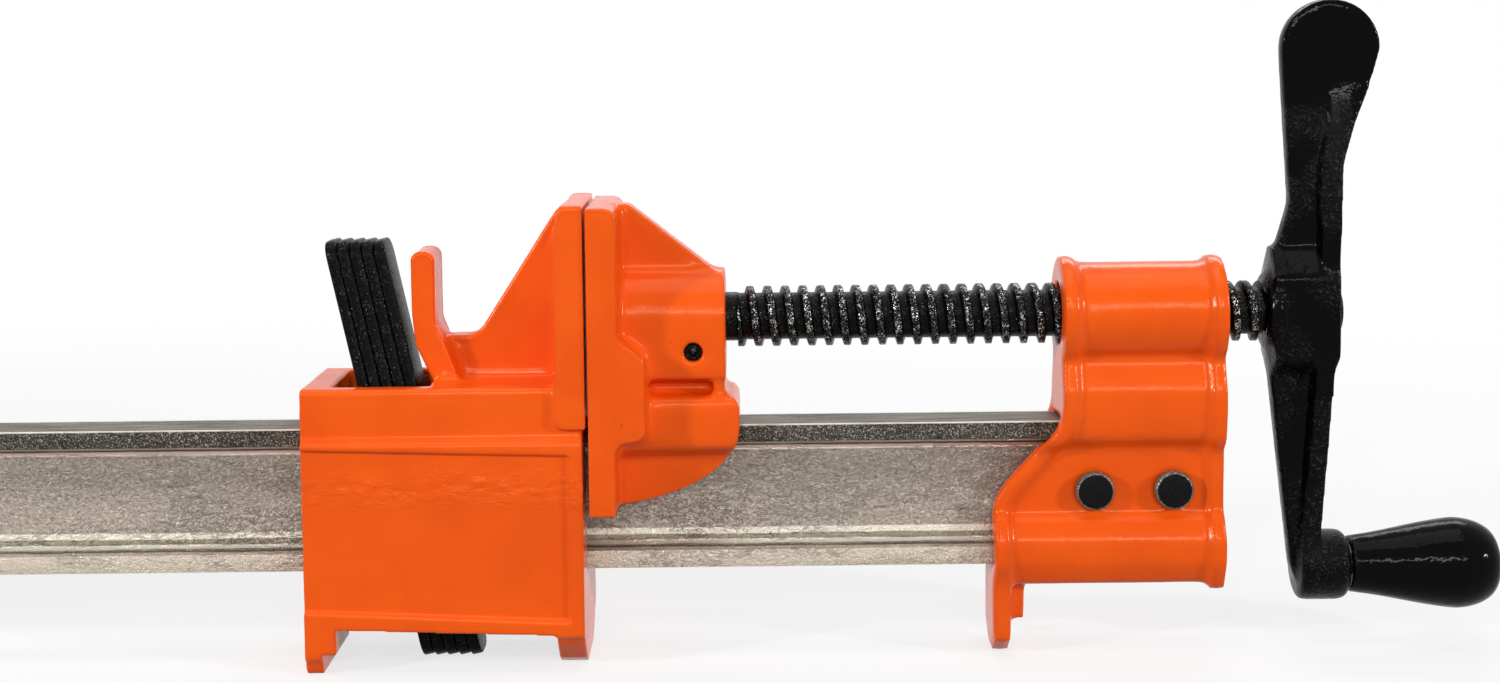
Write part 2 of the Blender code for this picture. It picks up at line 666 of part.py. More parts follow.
def slider_side():
    """The housing from the side, in (x, z): its end walls reach the floor, and the left one has a step."""
    left = SLIDER_LEFT_X
    right = SLIDER_X - SLIDER_END_INSET
    step = left + SLIDER_LEFT_WALL + SLIDER_LEFT_STEP_LENGTH
    return [
        (left, SLIDER_TOP_Z + OVERRUN), (right, SLIDER_TOP_Z + OVERRUN), (right, 0),
        (right - SLIDER_RIGHT_WALL, 0), (right - SLIDER_RIGHT_WALL, SLIDER_SKIRT_RIGHT_FLOOR_GAP),
        (step, SLIDER_SKIRT_FLOOR_GAP), (step, SLIDER_LEFT_STEP_FLOOR_GAP),
        (left + SLIDER_LEFT_WALL, SLIDER_LEFT_STEP_FLOOR_GAP), (left + SLIDER_LEFT_WALL, 0), (left, 0),
    ]


def foot_corner(side, inset, rise, x_low, x_high):
    """What is cut from a foot's lower corner, so that it narrows to a flat on the floor."""
    full = SLIDER_WIDTH / 2
    flat = full - inset
    outline = [
        (side * flat, 0), (side * (2 * flat + full) / 3, rise / 5), (side * full, rise),
        (side * (full + OVERRUN), rise), (side * (full + OVERRUN), -OVERRUN), (side * flat, -OVERRUN),
    ]
    return prism(outline, "X", x_low, x_high)


def make_sliding_jaw():
    right = SLIDER_X - SLIDER_END_INSET
    half_width = SLIDER_WIDTH / 2
    jaw = part(
        "sliding_jaw",
        prism(slider_section(), "X", SLIDER_LEFT_X - OVERRUN, right + OVERRUN),
        ENAMEL,
    )
    combine(jaw, helper("slider_side", prism(slider_side(), "Y", -SLIDER_WIDTH, SLIDER_WIDTH)), "INTERSECT")
    for side in (-1, 1):
        cut(jaw, "left_foot_corner", foot_corner(
            side, SLIDER_LEFT_FOOT_INSET, SLIDER_LEFT_FOOT_RISE,
            SLIDER_LEFT_X - OVERRUN, SLIDER_LEFT_X + SLIDER_LEFT_WALL + SLIDER_LEFT_STEP_LENGTH + SINK,
        ))
        cut(jaw, "right_foot_corner", foot_corner(
            side, SLIDER_RIGHT_FOOT_INSET, SLIDER_RIGHT_FOOT_RISE,
            right - SLIDER_RIGHT_WALL - SINK, right + OVERRUN,
        ))
    join(jaw, "slider_plate", slider_plate())
    join(jaw, "slider_web", slider_web())
    join(jaw, "finger_lug", finger_lug())
    cut(jaw, "slider_cavity", box(
        (SLIDER_LEFT_X + SLIDER_LEFT_WALL, -half_width + SLIDER_SIDE_WALL, -OVERRUN),
        (right - SLIDER_RIGHT_WALL, half_width - SLIDER_SIDE_WALL, SLIDER_ROOF_Z),
    ))
    window = BAR_FLANGE_WIDTH / 2 + SLIDER_WINDOW_GAP
    cut(jaw, "slider_bar_window", box(
        (SLIDER_LEFT_X - OVERRUN, -window, BAR_UNDER_Z - SLIDER_WINDOW_GAP),
        (SLIDER_X + OVERRUN, window, BAR_TOP_Z + SLIDER_WINDOW_GAP),
    ))
    cut(jaw, "disc_slot", box(
        (SLIDER_X - SLOT_REACH - SLOT_LENGTH, -SLOT_WIDTH / 2, SLIDER_ROOF_Z - OVERRUN),
        (SLIDER_X - SLOT_REACH, SLOT_WIDTH / 2, SLIDER_TOP_Z + SINK),
    ))
    join(jaw, "disc_nib", box(
        (NIB_X, -half_width + SLIDER_SIDE_WALL / 2, DISC_PIVOT_Z),
        (NIB_X + NIB_LENGTH, half_width - SLIDER_SIDE_WALL / 2, SLIDER_ROOF_Z + SINK),
    ))
    for side in (-1, 1):
        outer = side * (half_width + OVERRUN)
        inner = side * (half_width - PANEL_DEPTH)
        cut(jaw, "side_panel", prism(panel_outline(), "Y", min(outer, inner), max(outer, inner)))


def panel_outline():
    """The recessed panel from the side: open at the housing's left end, and lower at its right end."""
    left = SLIDER_LEFT_X - OVERRUN
    right = SLIDER_X - SLIDER_END_INSET - PANEL_RIM_RIGHT
    return [
        (left, BAR_TOP_Z - PANEL_TOP_DROP), (right, BAR_TOP_Z - PANEL_TOP_RIGHT_DROP),
        (right, SLIDER_SKIRT_RIGHT_FLOOR_GAP + PANEL_RIM_BOTTOM_RIGHT),
        (left, SLIDER_SKIRT_FLOOR_GAP + PANEL_RIM_BOTTOM),
    ]


def slider_plate():
    """The jaw plate over the housing's right end, thinner at its tip."""
    half = SLIDER_WIDTH / 2
    foot = BAR_TOP_Z + PLATE_FOOT_OVER_BAR
    top = BAR_TOP_Z + PLATE_TOP_OVER_BAR
    outline = [
        (SLIDER_X, foot), (SLIDER_X, top), (SLIDER_X - PLATE_TIP_THICKNESS, top),
        (SLIDER_X - PLATE_ROOT_THICKNESS, foot),
    ]
    bm = prism(rounded(outline, PLATE_ROUNDING, sharp=(0, 1)), "Y", -half, half)
    return bm


def slider_web():
    """The web that runs from the tip of the jaw plate down to the finger lug."""
    top = BAR_TOP_Z + PLATE_TOP_OVER_BAR
    base = SLIDER_TOP_Z - SINK
    inside = SLIDER_X - PLATE_TIP_THICKNESS / 2
    outline = [
        (inside, base), (inside, top - WEB_TOP_DROP),
        (SLIDER_X - PLATE_TIP_THICKNESS, top - WEB_TOP_DROP),
        (SLIDER_X - WEB_KNEE_REACH, top - WEB_KNEE_DROP),
        (SLIDER_X - WEB_SADDLE_REACH, BAR_TOP_Z + WEB_SADDLE_RISE),
        (SLIDER_X - LUG_REACH - SINK, BAR_TOP_Z + WEB_SADDLE_RISE),
        (SLIDER_X - LUG_REACH - SINK, base),
    ]
    rounded_web = rounded(outline, WEB_SADDLE_ROUNDING, sharp=(0, 1, 2, 5, 6))
    return prism(rounded_web, "Y", -WEB_THICKNESS / 2, WEB_THICKNESS / 2)


def finger_lug():
    """The upright that the fingers pull the clutch discs towards, cut back where the discs would meet it."""
    right = SLIDER_X - LUG_REACH
    left = right - LUG_THICKNESS
    base = SLIDER_TOP_Z - SINK
    top = BAR_TOP_Z + LUG_TOP_RISE
    knee = BAR_TOP_Z + LUG_KNEE_RISE
    outline = [
        (left + LUG_FLARE, base), (left + LUG_RELIEF, knee), (left, BAR_TOP_Z + LUG_STRAIGHT_RISE),
        (left, top), (right, top), (right, knee + LUG_FLARE), (right + LUG_FLARE_RIGHT, base),
    ]
    return prism(rounded(outline, LUG_ROUNDING, sharp=(0, 6)), "Y", -LUG_WIDTH / 2, LUG_WIDTH / 2)


def disc_window_length():
    """The window's length, so that the tilted plate just clears the bar above and below."""
    across = BAR_HEIGHT + 2 * DISC_BAR_GAP + DISC_THICKNESS * math.sin(DISC_TILT)
    return across / math.cos(DISC_TILT)


def disc_window_top():
    """How far the window's upper edge lies from the pivot, up along the plate."""
    above = DISC_BAR_GAP + DISC_THICKNESS * math.sin(DISC_TILT) - NIB_OVER_BAR
    return above / math.cos(DISC_TILT)


def make_discs():
    """Tilted plates round the bar, each turning about its own line under the housing's roof."""
    top = disc_window_top()
    foot = top - disc_window_length()
    window = BAR_FLANGE_WIDTH / 2 + DISC_SIDE_GAP
    tab = DISC_TAB_WIDTH / 2
    body = DISC_BODY_WIDTH / 2
    half = [
        (tab, DISC_TOP_LENGTH), (tab, DISC_BODY_SHOULDER), (body, DISC_BODY_SHOULDER),
        (body, foot - DISC_BODY_FOOT), (tab, foot - DISC_BODY_FOOT), (tab, -DISC_FOOT_LENGTH),
    ]
    tips = rounded(mirrored(half), DISC_TAB_ROUNDING, 4, sharp=(1, 2, 3, 4, 7, 8, 9, 10))
    shoulders = [i for i, (y, z) in enumerate(tips) if abs(y) >= body]
    outline = rounded(tips, DISC_BODY_ROUNDING, 2, sharp=[i for i in range(len(tips)) if i not in shoulders])
    hole = [(window, top), (window, foot), (-window, foot), (-window, top)]
    for number in range(1, DISC_COUNT + 1):
        disc = part(
            f"clutch_disc_{number}",
            prism(outline, "X", -DISC_THICKNESS, 0, holes=[hole]),
            BLACKENED,
        )
        disc.location = disc_pivot(number)
        disc.rotation_euler = (0, -DISC_TILT, 0)


def disc_pivot(number):
    """A disc's pivot: on its right face, at the height of the nib. Disc 5 is next to the nib."""
    x = NIB_X - SEAT_GAP - DISC_SPACING * (DISC_COUNT - number)
    return (x, 0, DISC_PIVOT_Z)


def make_clutch_spring():
    """A coil between the housing's left wall and the first disc, below the bar."""
    outer = SPRING_RADIUS + SPRING_WIRE_RADIUS
    height = BAR_UNDER_Z - SPRING_UNDER_BAR - outer
    face = disc_pivot(1)[0] - DISC_THICKNESS / math.cos(DISC_TILT)
    lean = math.tan(DISC_TILT)
    start = SLIDER_LEFT_X + SLIDER_LEFT_WALL + SEAT_GAP + SPRING_WIRE_RADIUS
    end = face + (DISC_PIVOT_Z - height - outer) * lean - SEAT_GAP - SPRING_WIRE_RADIUS
    curve = bpy.data.curves.new("clutch_spring", "CURVE")
    curve.dimensions = "3D"
    curve.bevel_depth = SPRING_WIRE_RADIUS
    curve.bevel_resolution = 1
    curve.use_fill_caps = True
    count = SPRING_TURNS * SPRING_POINTS_PER_TURN
    spline = curve.splines.new("POLY")
    spline.points.add(count)
    for i in range(count + 1):
        angle = 2 * math.pi * i / SPRING_POINTS_PER_TURN
        x = start + (end - start) * i / count
        y = SPRING_RADIUS * math.cos(angle)
        z = height + SPRING_RADIUS * math.sin(angle)
        spline.points[i].co = (x, y, z, 1)
    curve.materials.append(PLATED)
    obj = bpy.data.objects.new("clutch_spring", curve)
    PARTS.objects.link(obj)


def pressure_plate():
    """The pressure jaw's plate from the side, with the thicker pad across its middle."""
    x = PRESSURE_X
    top = BAR_TOP_Z + PRESSURE_PLATE_TOP_OVER_BAR
    outline = [
        (x, BAR_TOP_Z - PRESSURE_PLATE_BAR_DROP), (x, top), (x + PRESSURE_PLATE_THICKNESS, top),
        (x + PRESSURE_PLATE_THICKNESS, BAR_TOP_Z + PAD_SLOPE_TOP_RISE),
        (x + PAD_THICKNESS - PAD_ROUNDING, BAR_TOP_Z + PAD_TOP_RISE),
        (x + PAD_THICKNESS, BAR_TOP_Z + PAD_TOP_RISE - PAD_ROUNDING),
        (x + PAD_THICKNESS, BAR_TOP_Z - PAD_FOOT_DROP),
        (x + PRESSURE_PLATE_FOOT_THICKNESS, BAR_TOP_Z - PAD_FOOT_DROP - PAD_ROUNDING / 2),
        (x + PRESSURE_PLATE_FOOT_THICKNESS, BAR_TOP_Z - PRESSURE_PLATE_BAR_DROP),
    ]
    smooth = rounded(outline, PAD_ROUNDING, sharp=(0, 1, 8))
    return prism(smooth, "Y", -PRESSURE_WIDTH / 2, PRESSURE_WIDTH / 2)


def pressure_boss():
    """The boss round the screw's nose: round above, with flat sides and a flat underside."""
    floor = BAR_TOP_Z + BOSS_FLOOR_OVER_BAR
    crown = arc((0, SCREW_Z), BOSS_RADIUS, 180, 0, ROUND_SIDES // 2)
    outline = [*crown, (BOSS_RADIUS, floor), (-BOSS_RADIUS, floor)]
    smooth = rounded(outline, BOSS_ROUNDING, sharp=range(len(crown)))
    return prism(smooth, "X", PRESSURE_X + SINK, PRESSURE_END_X)


def pressure_rib():
    """The rib from the top of the plate down to the end of the boss."""
    x = PRESSURE_X
    top = BAR_TOP_Z + PRESSURE_PLATE_TOP_OVER_BAR
    end = PRESSURE_END_X - SEAT_GAP
    outline = [
        (x + SINK, SCREW_Z + BOSS_RADIUS / 2), (x + SINK, top - SEAT_GAP),
        (x + PRESSURE_RIB_LEDGE, top - SEAT_GAP),
        (end, SCREW_Z + BOSS_RADIUS - PRESSURE_RIB_THICKNESS / 3), (end, SCREW_Z + BOSS_RADIUS / 2),
    ]
    return prism(outline, "Y", -PRESSURE_RIB_THICKNESS / 2, PRESSURE_RIB_THICKNESS / 2)


def saddle_side():
    """The saddle from the side: straight over the bar, then swept back below it in a quarter ellipse."""
    x = PRESSURE_X
    roof = BAR_TOP_Z + SADDLE_ROOF
    end = x + SADDLE_LENGTH
    drop = PRESSURE_PLATE_BAR_DROP - SINK / 2
    sweep = []
    steps = 12
    for i in range(steps + 1):
        angle = math.pi / 2 * i / steps
        sweep.append((x + SADDLE_LENGTH * math.cos(angle), BAR_TOP_Z - drop * math.sin(angle)))
    return [
        (x + SINK, roof + OVERRUN), (PRESSURE_END_X, roof + OVERRUN), (PRESSURE_END_X, roof + OVERRUN / 2),
        (end, roof - SADDLE_ROUNDING), *sweep[:-1], (x + SINK, BAR_TOP_Z - drop),
    ]


def saddle_half_profile():
    """Half of the saddle's section: a bulge over the bar's flange and a thinner skirt beside its web."""
    bulge = BAR_FLANGE_WIDTH / 2 + SADDLE_WALL
    skirt = BAR_WEB / 2 + SADDLE_SKIRT_WALL
    roof = BAR_TOP_Z + SADDLE_ROOF
    corners = [
        (0, roof), (bulge, roof), (bulge, BAR_TOP_Z - SADDLE_TUCK_DROP),
        (skirt, BAR_TOP_Z - SADDLE_CREASE_DROP), (skirt, BAR_TOP_Z - PRESSURE_PLATE_BAR_DROP - OVERRUN),
        (0, BAR_TOP_Z - PRESSURE_PLATE_BAR_DROP - OVERRUN),
    ]
    return rounded(corners, SADDLE_ROUNDING, sharp=(0, 4, 5))


def make_pressure_jaw():
    jaw = part("pressure_jaw", pressure_plate(), ENAMEL)
    roof = BAR_TOP_Z + SADDLE_ROOF
    floor = BAR_TOP_Z + BOSS_FLOOR_OVER_BAR
    join(jaw, "pressure_boss", pressure_boss())
    join(jaw, "pressure_rib", pressure_rib())
    saddle = helper("saddle", prism(
        mirrored(saddle_half_profile()), "X", PRESSURE_X + SINK, PRESSURE_X + SADDLE_LENGTH + OVERRUN,
    ))
    wide = PRESSURE_WIDTH
    combine(saddle, helper("saddle_side", prism(saddle_side(), "Y", -wide, wide)), "INTERSECT")
    combine(jaw, saddle, "UNION")
    join(jaw, "saddle_neck", box(
        (PRESSURE_X + SINK, -SADDLE_NECK_HALF, roof - SINK),
        (PRESSURE_END_X - SINK, SADDLE_NECK_HALF, floor + SINK),
    ))
    join(jaw, "saddle_end", box(
        (PRESSURE_END_X - UNDERCUT_END_WALL, -SADDLE_END_HALF, roof - SADDLE_ROUNDING),
        (PRESSURE_END_X - SINK / 2, SADDLE_END_HALF, floor + SINK),
    ))
    cut(jaw, "pressure_bar_slot", prism(
        bar_outline(RUNNING_GAP), "X", PRESSURE_X - OVERRUN, PRESSURE_X + SADDLE_LENGTH + OVERRUN,
    ))
    cut(jaw, "nose_bore", rod(
        "X",
        (PRESSURE_X + BOSS_BORE_END_WALL, 0, SCREW_Z),
        (PRESSURE_END_X + OVERRUN, 0, SCREW_Z),
        SCREW_NECK_RADIUS + BOSS_BORE_GAP,
        sides=ROUND_SIDES,
    ))
    reach = BOSS_RADIUS + OVERRUN
    x, z = nose_pin_place()
    cut(jaw, "nose_pin_hole", rod("Y", (x, -reach, z), (x, reach, z), NOSE_PIN_RADIUS + SEAT_GAP))


def nose_pin_place():
    return PRESSURE_END_X - NOSE_PIN_INSET, SCREW_Z - NOSE_PIN_DROP


def make_nose_pin():
    """A roll pin, a little below the boss's surface at both ends."""
    x, z = nose_pin_place()
    half = BOSS_RADIUS - NOSE_PIN_SUNK
    outline = arc((x, z), NOSE_PIN_RADIUS, 0, 360, SMALL_SIDES)[:-1]
    bore = arc((x, z), NOSE_PIN_BORE, 0, 360, SMALL_SIDES // 2)[:-1]
    part("nose_pin", prism(outline, "Y", -half, half, holes=[bore]), BLACKENED)


def thread():
    """The screw's trapezoid thread, as one profile spun along the axis and cut square at both ends."""
    root_flat = SCREW_PITCH - SCREW_CREST_FLAT - 2 * SCREW_FLANK
    crest_start = root_flat + SCREW_FLANK
    profile = [
        (0, SCREW_ROOT_RADIUS), (root_flat, SCREW_ROOT_RADIUS), (crest_start, SCREW_CREST_RADIUS),
        (crest_start + SCREW_CREST_FLAT, SCREW_CREST_RADIUS), (SCREW_PITCH, SCREW_ROOT_RADIUS),
    ]
    turns = math.ceil((THREAD_RIGHT_X - THREAD_LEFT_X) / SCREW_PITCH) + 2
    steps = turns * THREAD_SIDES
    start = THREAD_LEFT_X - SCREW_PITCH
    bm = bmesh.new()
    verts = [bm.verts.new((start + along, 0, radius)) for along, radius in profile]
    edges = [bm.edges.new(pair) for pair in zip(verts, verts[1:])]
    bmesh.ops.spin(
        bm, geom=verts + edges, cent=(0, 0, 0), axis=(1, 0, 0),
        dvec=(SCREW_PITCH / THREAD_SIDES, 0, 0), angle=2 * math.pi * turns, steps=steps,
    )
    bmesh.ops.remove_doubles(bm, verts=bm.verts, dist=SEAT_GAP / 100)
    for x, side in ((THREAD_LEFT_X, -1), (THREAD_RIGHT_X, 1)):
        everything = bm.verts[:] + bm.edges[:] + bm.faces[:]
        bmesh.ops.bisect_plane(
            bm, geom=everything, dist=SEAT_GAP / 1000,
            plane_co=(x, 0, 0), plane_no=(side, 0, 0), clear_outer=True,
        )
    rims = [edge for edge in bm.edges if edge.is_boundary]
    bmesh.ops.holes_fill(bm, edges=rims, sides=0)
    bmesh.ops.translate(bm, verts=bm.verts, vec=(0, 0, SCREW_Z))
    return bm


def make_screw():
    screw = part("screw", thread(), BLACKENED)
    groove_end = PRESSURE_END_X - NOSE_PIN_INSET + SCREW_GROOVE_WIDTH / 2
    groove_start = groove_end - SCREW_GROOVE_WIDTH
    tip = PRESSURE_X + BOSS_BORE_END_WALL + SEAT_GAP
    neck_end = THREAD_LEFT_X + SINK
    nose = [
        (tip, 0), (tip, SCREW_NOSE_TIP_RADIUS), (tip + SCREW_NOSE_TAPER, SCREW_NECK_RADIUS),
        (groove_start, SCREW_NECK_RADIUS), (groove_start, SCREW_GROOVE_RADIUS),
        (groove_end, SCREW_GROOVE_RADIUS), (groove_end, SCREW_NECK_RADIUS),
        (THREAD_LEFT_X + SINK / 2, SCREW_NECK_RADIUS), (neck_end, SCREW_GROOVE_RADIUS), (neck_end, 0),
    ]
    join(screw, "screw_nose", turned(nose, "X", (0, 0, SCREW_Z), ROUND_SIDES))
    hub_end = CRANK_X + HUB_LENGTH
    side = TENON_SIDE / 2
    join(screw, "screw_tenon", box(
        (THREAD_RIGHT_X - SINK, -side, SCREW_Z - side),
        (hub_end + SEAT_GAP + TENON_HEAD_CROWN / 2, side, SCREW_Z + side),
    ))
    head = [
        (hub_end + SEAT_GAP, 0), (hub_end + SEAT_GAP, TENON_HEAD_RADIUS),
        (hub_end + SEAT_GAP + TENON_HEAD_CROWN, TENON_HEAD_RADIUS),
        (hub_end + SEAT_GAP + TENON_HEAD_HEIGHT, TENON_HEAD_RADIUS / 2),
        (hub_end + SEAT_GAP + TENON_HEAD_HEIGHT, 0),
    ]
    join(screw, "screw_head", turned(head, "X", (0, 0, SCREW_Z), SMALL_SIDES))


def crank_left_edge():
    """The crank's left edge in (x, z), from the lobe down to the grip."""
    x, z = CRANK_X, SCREW_Z
    lobe = (x + LOBE_REACH, z + LOBE_RISE)
    return [
        (lobe[0] - LOBE_RADIUS, lobe[1]),
        (x + WAIST_LEFT, z + WAIST_RISE),
        (x + SHOULDER_LEFT, z + SHOULDER_RISE),
        (x + COLLAR_LENGTH / 2, z + HUB_RISE),
        (x + ARM_LEFT_AT_HUB, z - HUB_DROP),
        (x + ARM_LEFT_AT_GRIP, z - GRIP_THROW),
        (x + ARM_LEFT_AT_GRIP + ARM_END_ROUNDING, z - ARM_END_DROP),
    ]


def crank_right_edge():
    """The crank's right edge in (x, z), from the grip up to the lobe."""
    x, z = CRANK_X, SCREW_Z
    lobe = (x + LOBE_REACH, z + LOBE_RISE)
    return [
        (x + ARM_RIGHT_AT_GRIP, z - ARM_END_DROP),
        (x + ARM_RIGHT_AT_GRIP, z - GRIP_THROW + GRIP_BOSS_RADIUS),
        (x + ARM_RIGHT_AT_HUB, z - HUB_DROP),
        (x + WAIST_RIGHT, z + WAIST_RISE),
        (x + LOBE_THROAT_RIGHT, z + LOBE_THROAT_RISE),
        (x + LOBE_CHEEK_RIGHT, z + LOBE_CHEEK_RISE),
        (lobe[0] + LOBE_RADIUS, lobe[1]),
    ]


def crank_web():
    """The flat web in the crank's middle plane, which ends in the round lobe."""
    lobe = (CRANK_X + LOBE_REACH, SCREW_Z + LOBE_RISE)
    left = crank_left_edge()
    right = [(x - SEAT_GAP, z) for x, z in crank_right_edge()[:-1]] + crank_right_edge()[-1:]
    crown = arc(lobe, LOBE_RADIUS, 0, 180, ROUND_SIDES // 2)[1:-1]
    outline = rounded([*left, *right, *crown], ARM_END_ROUNDING * 2, sharp=(0, 3, 4, *range(13, 13 + len(crown))))
    return prism(outline, "Y", -CRANK_WEB_THICKNESS / 2, CRANK_WEB_THICKNESS / 2)


def crank_flange():
    """The wide flange down the crank's right edge, which dies out into the lobe."""
    x, z = CRANK_X, SCREW_Z
    right = crank_right_edge()[:-1]
    left = [
        (x + LOBE_CHEEK_RIGHT - FLANGE_THICKNESS / 2, z + LOBE_CHEEK_RISE),
        (x + LOBE_THROAT_RIGHT - FLANGE_THICKNESS, z + LOBE_THROAT_RISE + FLANGE_THICKNESS / 2),
        (x + WAIST_RIGHT - FLANGE_THICKNESS, z + WAIST_RISE),
        (x + ARM_RIGHT_AT_HUB - FLANGE_THICKNESS, z - HUB_DROP),
        (x + ARM_RIGHT_AT_GRIP - FLANGE_THICKNESS, z - GRIP_THROW + GRIP_BOSS_RADIUS),
        (x + ARM_RIGHT_AT_GRIP - FLANGE_THICKNESS, z - GRIP_THROW),
    ]
    right[0] = (x + ARM_RIGHT_AT_GRIP, z - GRIP_THROW)
    bm = prism([*right, *left], "Y", -FLANGE_HUB_HALF, FLANGE_HUB_HALF)
    top = z + LOBE_CHEEK_RISE
    waist = z + WAIST_RISE
    narrowest = CRANK_WEB_THICKNESS / 2 + SEAT_GAP
    for vert in bm.verts:
        if vert.co.z > waist:
            fade = (vert.co.z - waist) / (top - waist)
            half = FLANGE_HUB_HALF + (narrowest - FLANGE_HUB_HALF) * fade
        elif vert.co.z < z - HUB_DROP:
            half = FLANGE_END_HALF
        else:
            half = FLANGE_HUB_HALF
        vert.co.y = math.copysign(half, vert.co.y)
    return bm


def crank_hub():
    """The hub block, with ramps that fall to the web above and below it."""
    z = SCREW_Z
    web = CRANK_WEB_THICKNESS / 2
    half = [
        (web, z + HUB_RAMP_RISE), (HUB_HALF_WIDTH, z + HUB_RISE), (HUB_HALF_WIDTH, z - HUB_DROP),
        (web, z - HUB_RAMP_DROP),
    ]
    outline = rounded(mirrored(half), ARM_END_ROUNDING / 2, 2)
    return prism(outline, "X", CRANK_X + COLLAR_LENGTH / 2, CRANK_X + HUB_LENGTH)


def make_crank():
    x, z = CRANK_X, SCREW_Z
    crank = part("crank", crank_web(), BLACK_ENAMEL)
    join(crank, "crank_flange", crank_flange())
    join(crank, "crank_hub", crank_hub())
    join(crank, "crank_collar", rod(
        "X", (x, 0, z), (x + COLLAR_LENGTH, 0, z), COLLAR_TIP_RADIUS, COLLAR_RADIUS, ROUND_SIDES,
    ))
    boss_start = x + ARM_RIGHT_AT_GRIP - FLANGE_THICKNESS - SEAT_GAP
    boss_end = x + ARM_RIGHT_AT_GRIP + GRIP_BOSS_LENGTH
    boss = [
        (boss_start, 0), (boss_start, GRIP_BOSS_RADIUS - GRIP_BOSS_CHAMFER / 2),
        (boss_start + GRIP_BOSS_CHAMFER / 2, GRIP_BOSS_RADIUS), (boss_end - GRIP_BOSS_CHAMFER, GRIP_BOSS_RADIUS),
        (boss_end, GRIP_BOSS_RADIUS - GRIP_BOSS_CHAMFER), (boss_end, 0),
    ]
    join(crank, "grip_boss", turned(boss, "X", (0, 0, GRIP_Z), ROUND_SIDES))
    side = TENON_SIDE / 2 + SEAT_GAP
    cut(crank, "tenon_hole", box(
        (x - OVERRUN, -side, z - side), (x + HUB_LENGTH + OVERRUN, side, z + side)
    ))
    cut(crank, "grip_pin_hole", rod(
        "X", (grip_pin_end_x() - SEAT_GAP, 0, GRIP_Z), (boss_end + OVERRUN, 0, GRIP_Z),
        GRIP_PIN_RADIUS + SEAT_GAP,
    ))


def grip_pin_end_x():
    """Where the pin ends inside the crank's arm."""
    return CRANK_X + ARM_RIGHT_AT_GRIP - FLANGE_THICKNESS * 2 / 3


def grip_start_x():
    return CRANK_X + ARM_RIGHT_AT_GRIP + GRIP_BOSS_LENGTH + GRIP_RUNNING_GAP


def grip_radius(share):
    """The pear's radius along its length: an easy swell to the belly, then a round end."""
    if share < GRIP_BELLY_SHARE:
        t = share / GRIP_BELLY_SHARE
        return GRIP_NECK_RADIUS + (GRIP_BELLY_RADIUS - GRIP_NECK_RADIUS) * (t * t * (3 - 2 * t) + t) / 2
    t = (share - GRIP_BELLY_SHARE) / (1 - GRIP_BELLY_SHARE)
    drop = 1 - math.sqrt(1 - t * t)
    return GRIP_BELLY_RADIUS - (GRIP_BELLY_RADIUS - GRIP_END_FLAT_RADIUS) * drop


def make_grip():
    start = grip_start_x()
    bore = GRIP_PIN_RADIUS + GRIP_RUNNING_GAP
    profile = [(start, bore)]
    for i in range(GRIP_PROFILE_STEPS + 1):
        t = i / GRIP_PROFILE_STEPS
        share = t * (2 - t)
        profile.append((start + GRIP_LENGTH * share, grip_radius(share)))
    end = start + GRIP_LENGTH
    profile += [(end, GRIP_RECESS_RADIUS), (end - GRIP_RECESS_DEPTH, GRIP_RECESS_RADIUS)]
    profile += [(end - GRIP_RECESS_DEPTH, bore), (start, bore)]
    part("grip", turned(profile, "X", (0, 0, GRIP_Z), ROUND_SIDES), BLACK_ENAMEL)


def make_grip_pin():
    """A headed pin from the crank's arm through the grip, its head sunk in the grip's end."""
    seat = grip_start_x() + GRIP_LENGTH - GRIP_RECESS_DEPTH + GRIP_RUNNING_GAP
    tail = grip_pin_end_x()
    profile = [
        (tail, 0), (tail, GRIP_PIN_RADIUS), (seat, GRIP_PIN_RADIUS), (seat, GRIP_PIN_HEAD_RADIUS),
        (seat + GRIP_PIN_HEAD_HEIGHT / 2, GRIP_PIN_HEAD_RADIUS),
        (seat + GRIP_PIN_HEAD_HEIGHT, GRIP_PIN_HEAD_RADIUS * 0.6), (seat + GRIP_PIN_HEAD_HEIGHT, 0),
    ]
    part("grip_pin", turned(profile, "X", (0, 0, GRIP_Z), SMALL_SIDES), PLATED)


clear_scene()
PARTS = new_collection("i_bar_clamp")
HELPERS = new_collection("helpers")
HELPERS.hide_render = True
ENAMEL = material("orange_enamel", (0.85, 0.11, 0.012), 0.0, 0.22)
BLACKENED = material("blackened_steel", (0.012, 0.012, 0.012), 0.7, 0.35)
BLACK_ENAMEL = material("black_enamel", (0.008, 0.008, 0.009), 0.0, 0.2)
PLATED = material("plated_steel", (0.42, 0.39, 0.34), 0.9, 0.42)
make_bar()
make_stop_pin()
make_tailstock()
make_rivets()
make_sliding_jaw()
make_discs()
make_clutch_spring()
make_pressure_jaw()
make_nose_pin()
make_screw()
make_crank()
make_grip()
make_grip_pin()
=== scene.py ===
"""The photographed I-bar clamp: softened castings, rolled bar, cut thread, finishes, light, camera."""

import math

import bmesh
import bpy
from mathutils import Matrix, Vector, noise


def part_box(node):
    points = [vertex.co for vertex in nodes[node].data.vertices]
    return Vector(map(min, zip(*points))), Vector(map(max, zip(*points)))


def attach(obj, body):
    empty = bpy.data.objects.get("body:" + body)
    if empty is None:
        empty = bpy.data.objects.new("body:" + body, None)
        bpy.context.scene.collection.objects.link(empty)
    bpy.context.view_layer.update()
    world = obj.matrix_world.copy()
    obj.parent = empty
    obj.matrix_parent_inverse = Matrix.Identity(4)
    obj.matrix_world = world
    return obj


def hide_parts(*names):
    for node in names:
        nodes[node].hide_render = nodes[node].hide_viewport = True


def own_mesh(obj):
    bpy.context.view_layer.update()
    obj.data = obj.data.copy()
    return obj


MM = 0.001

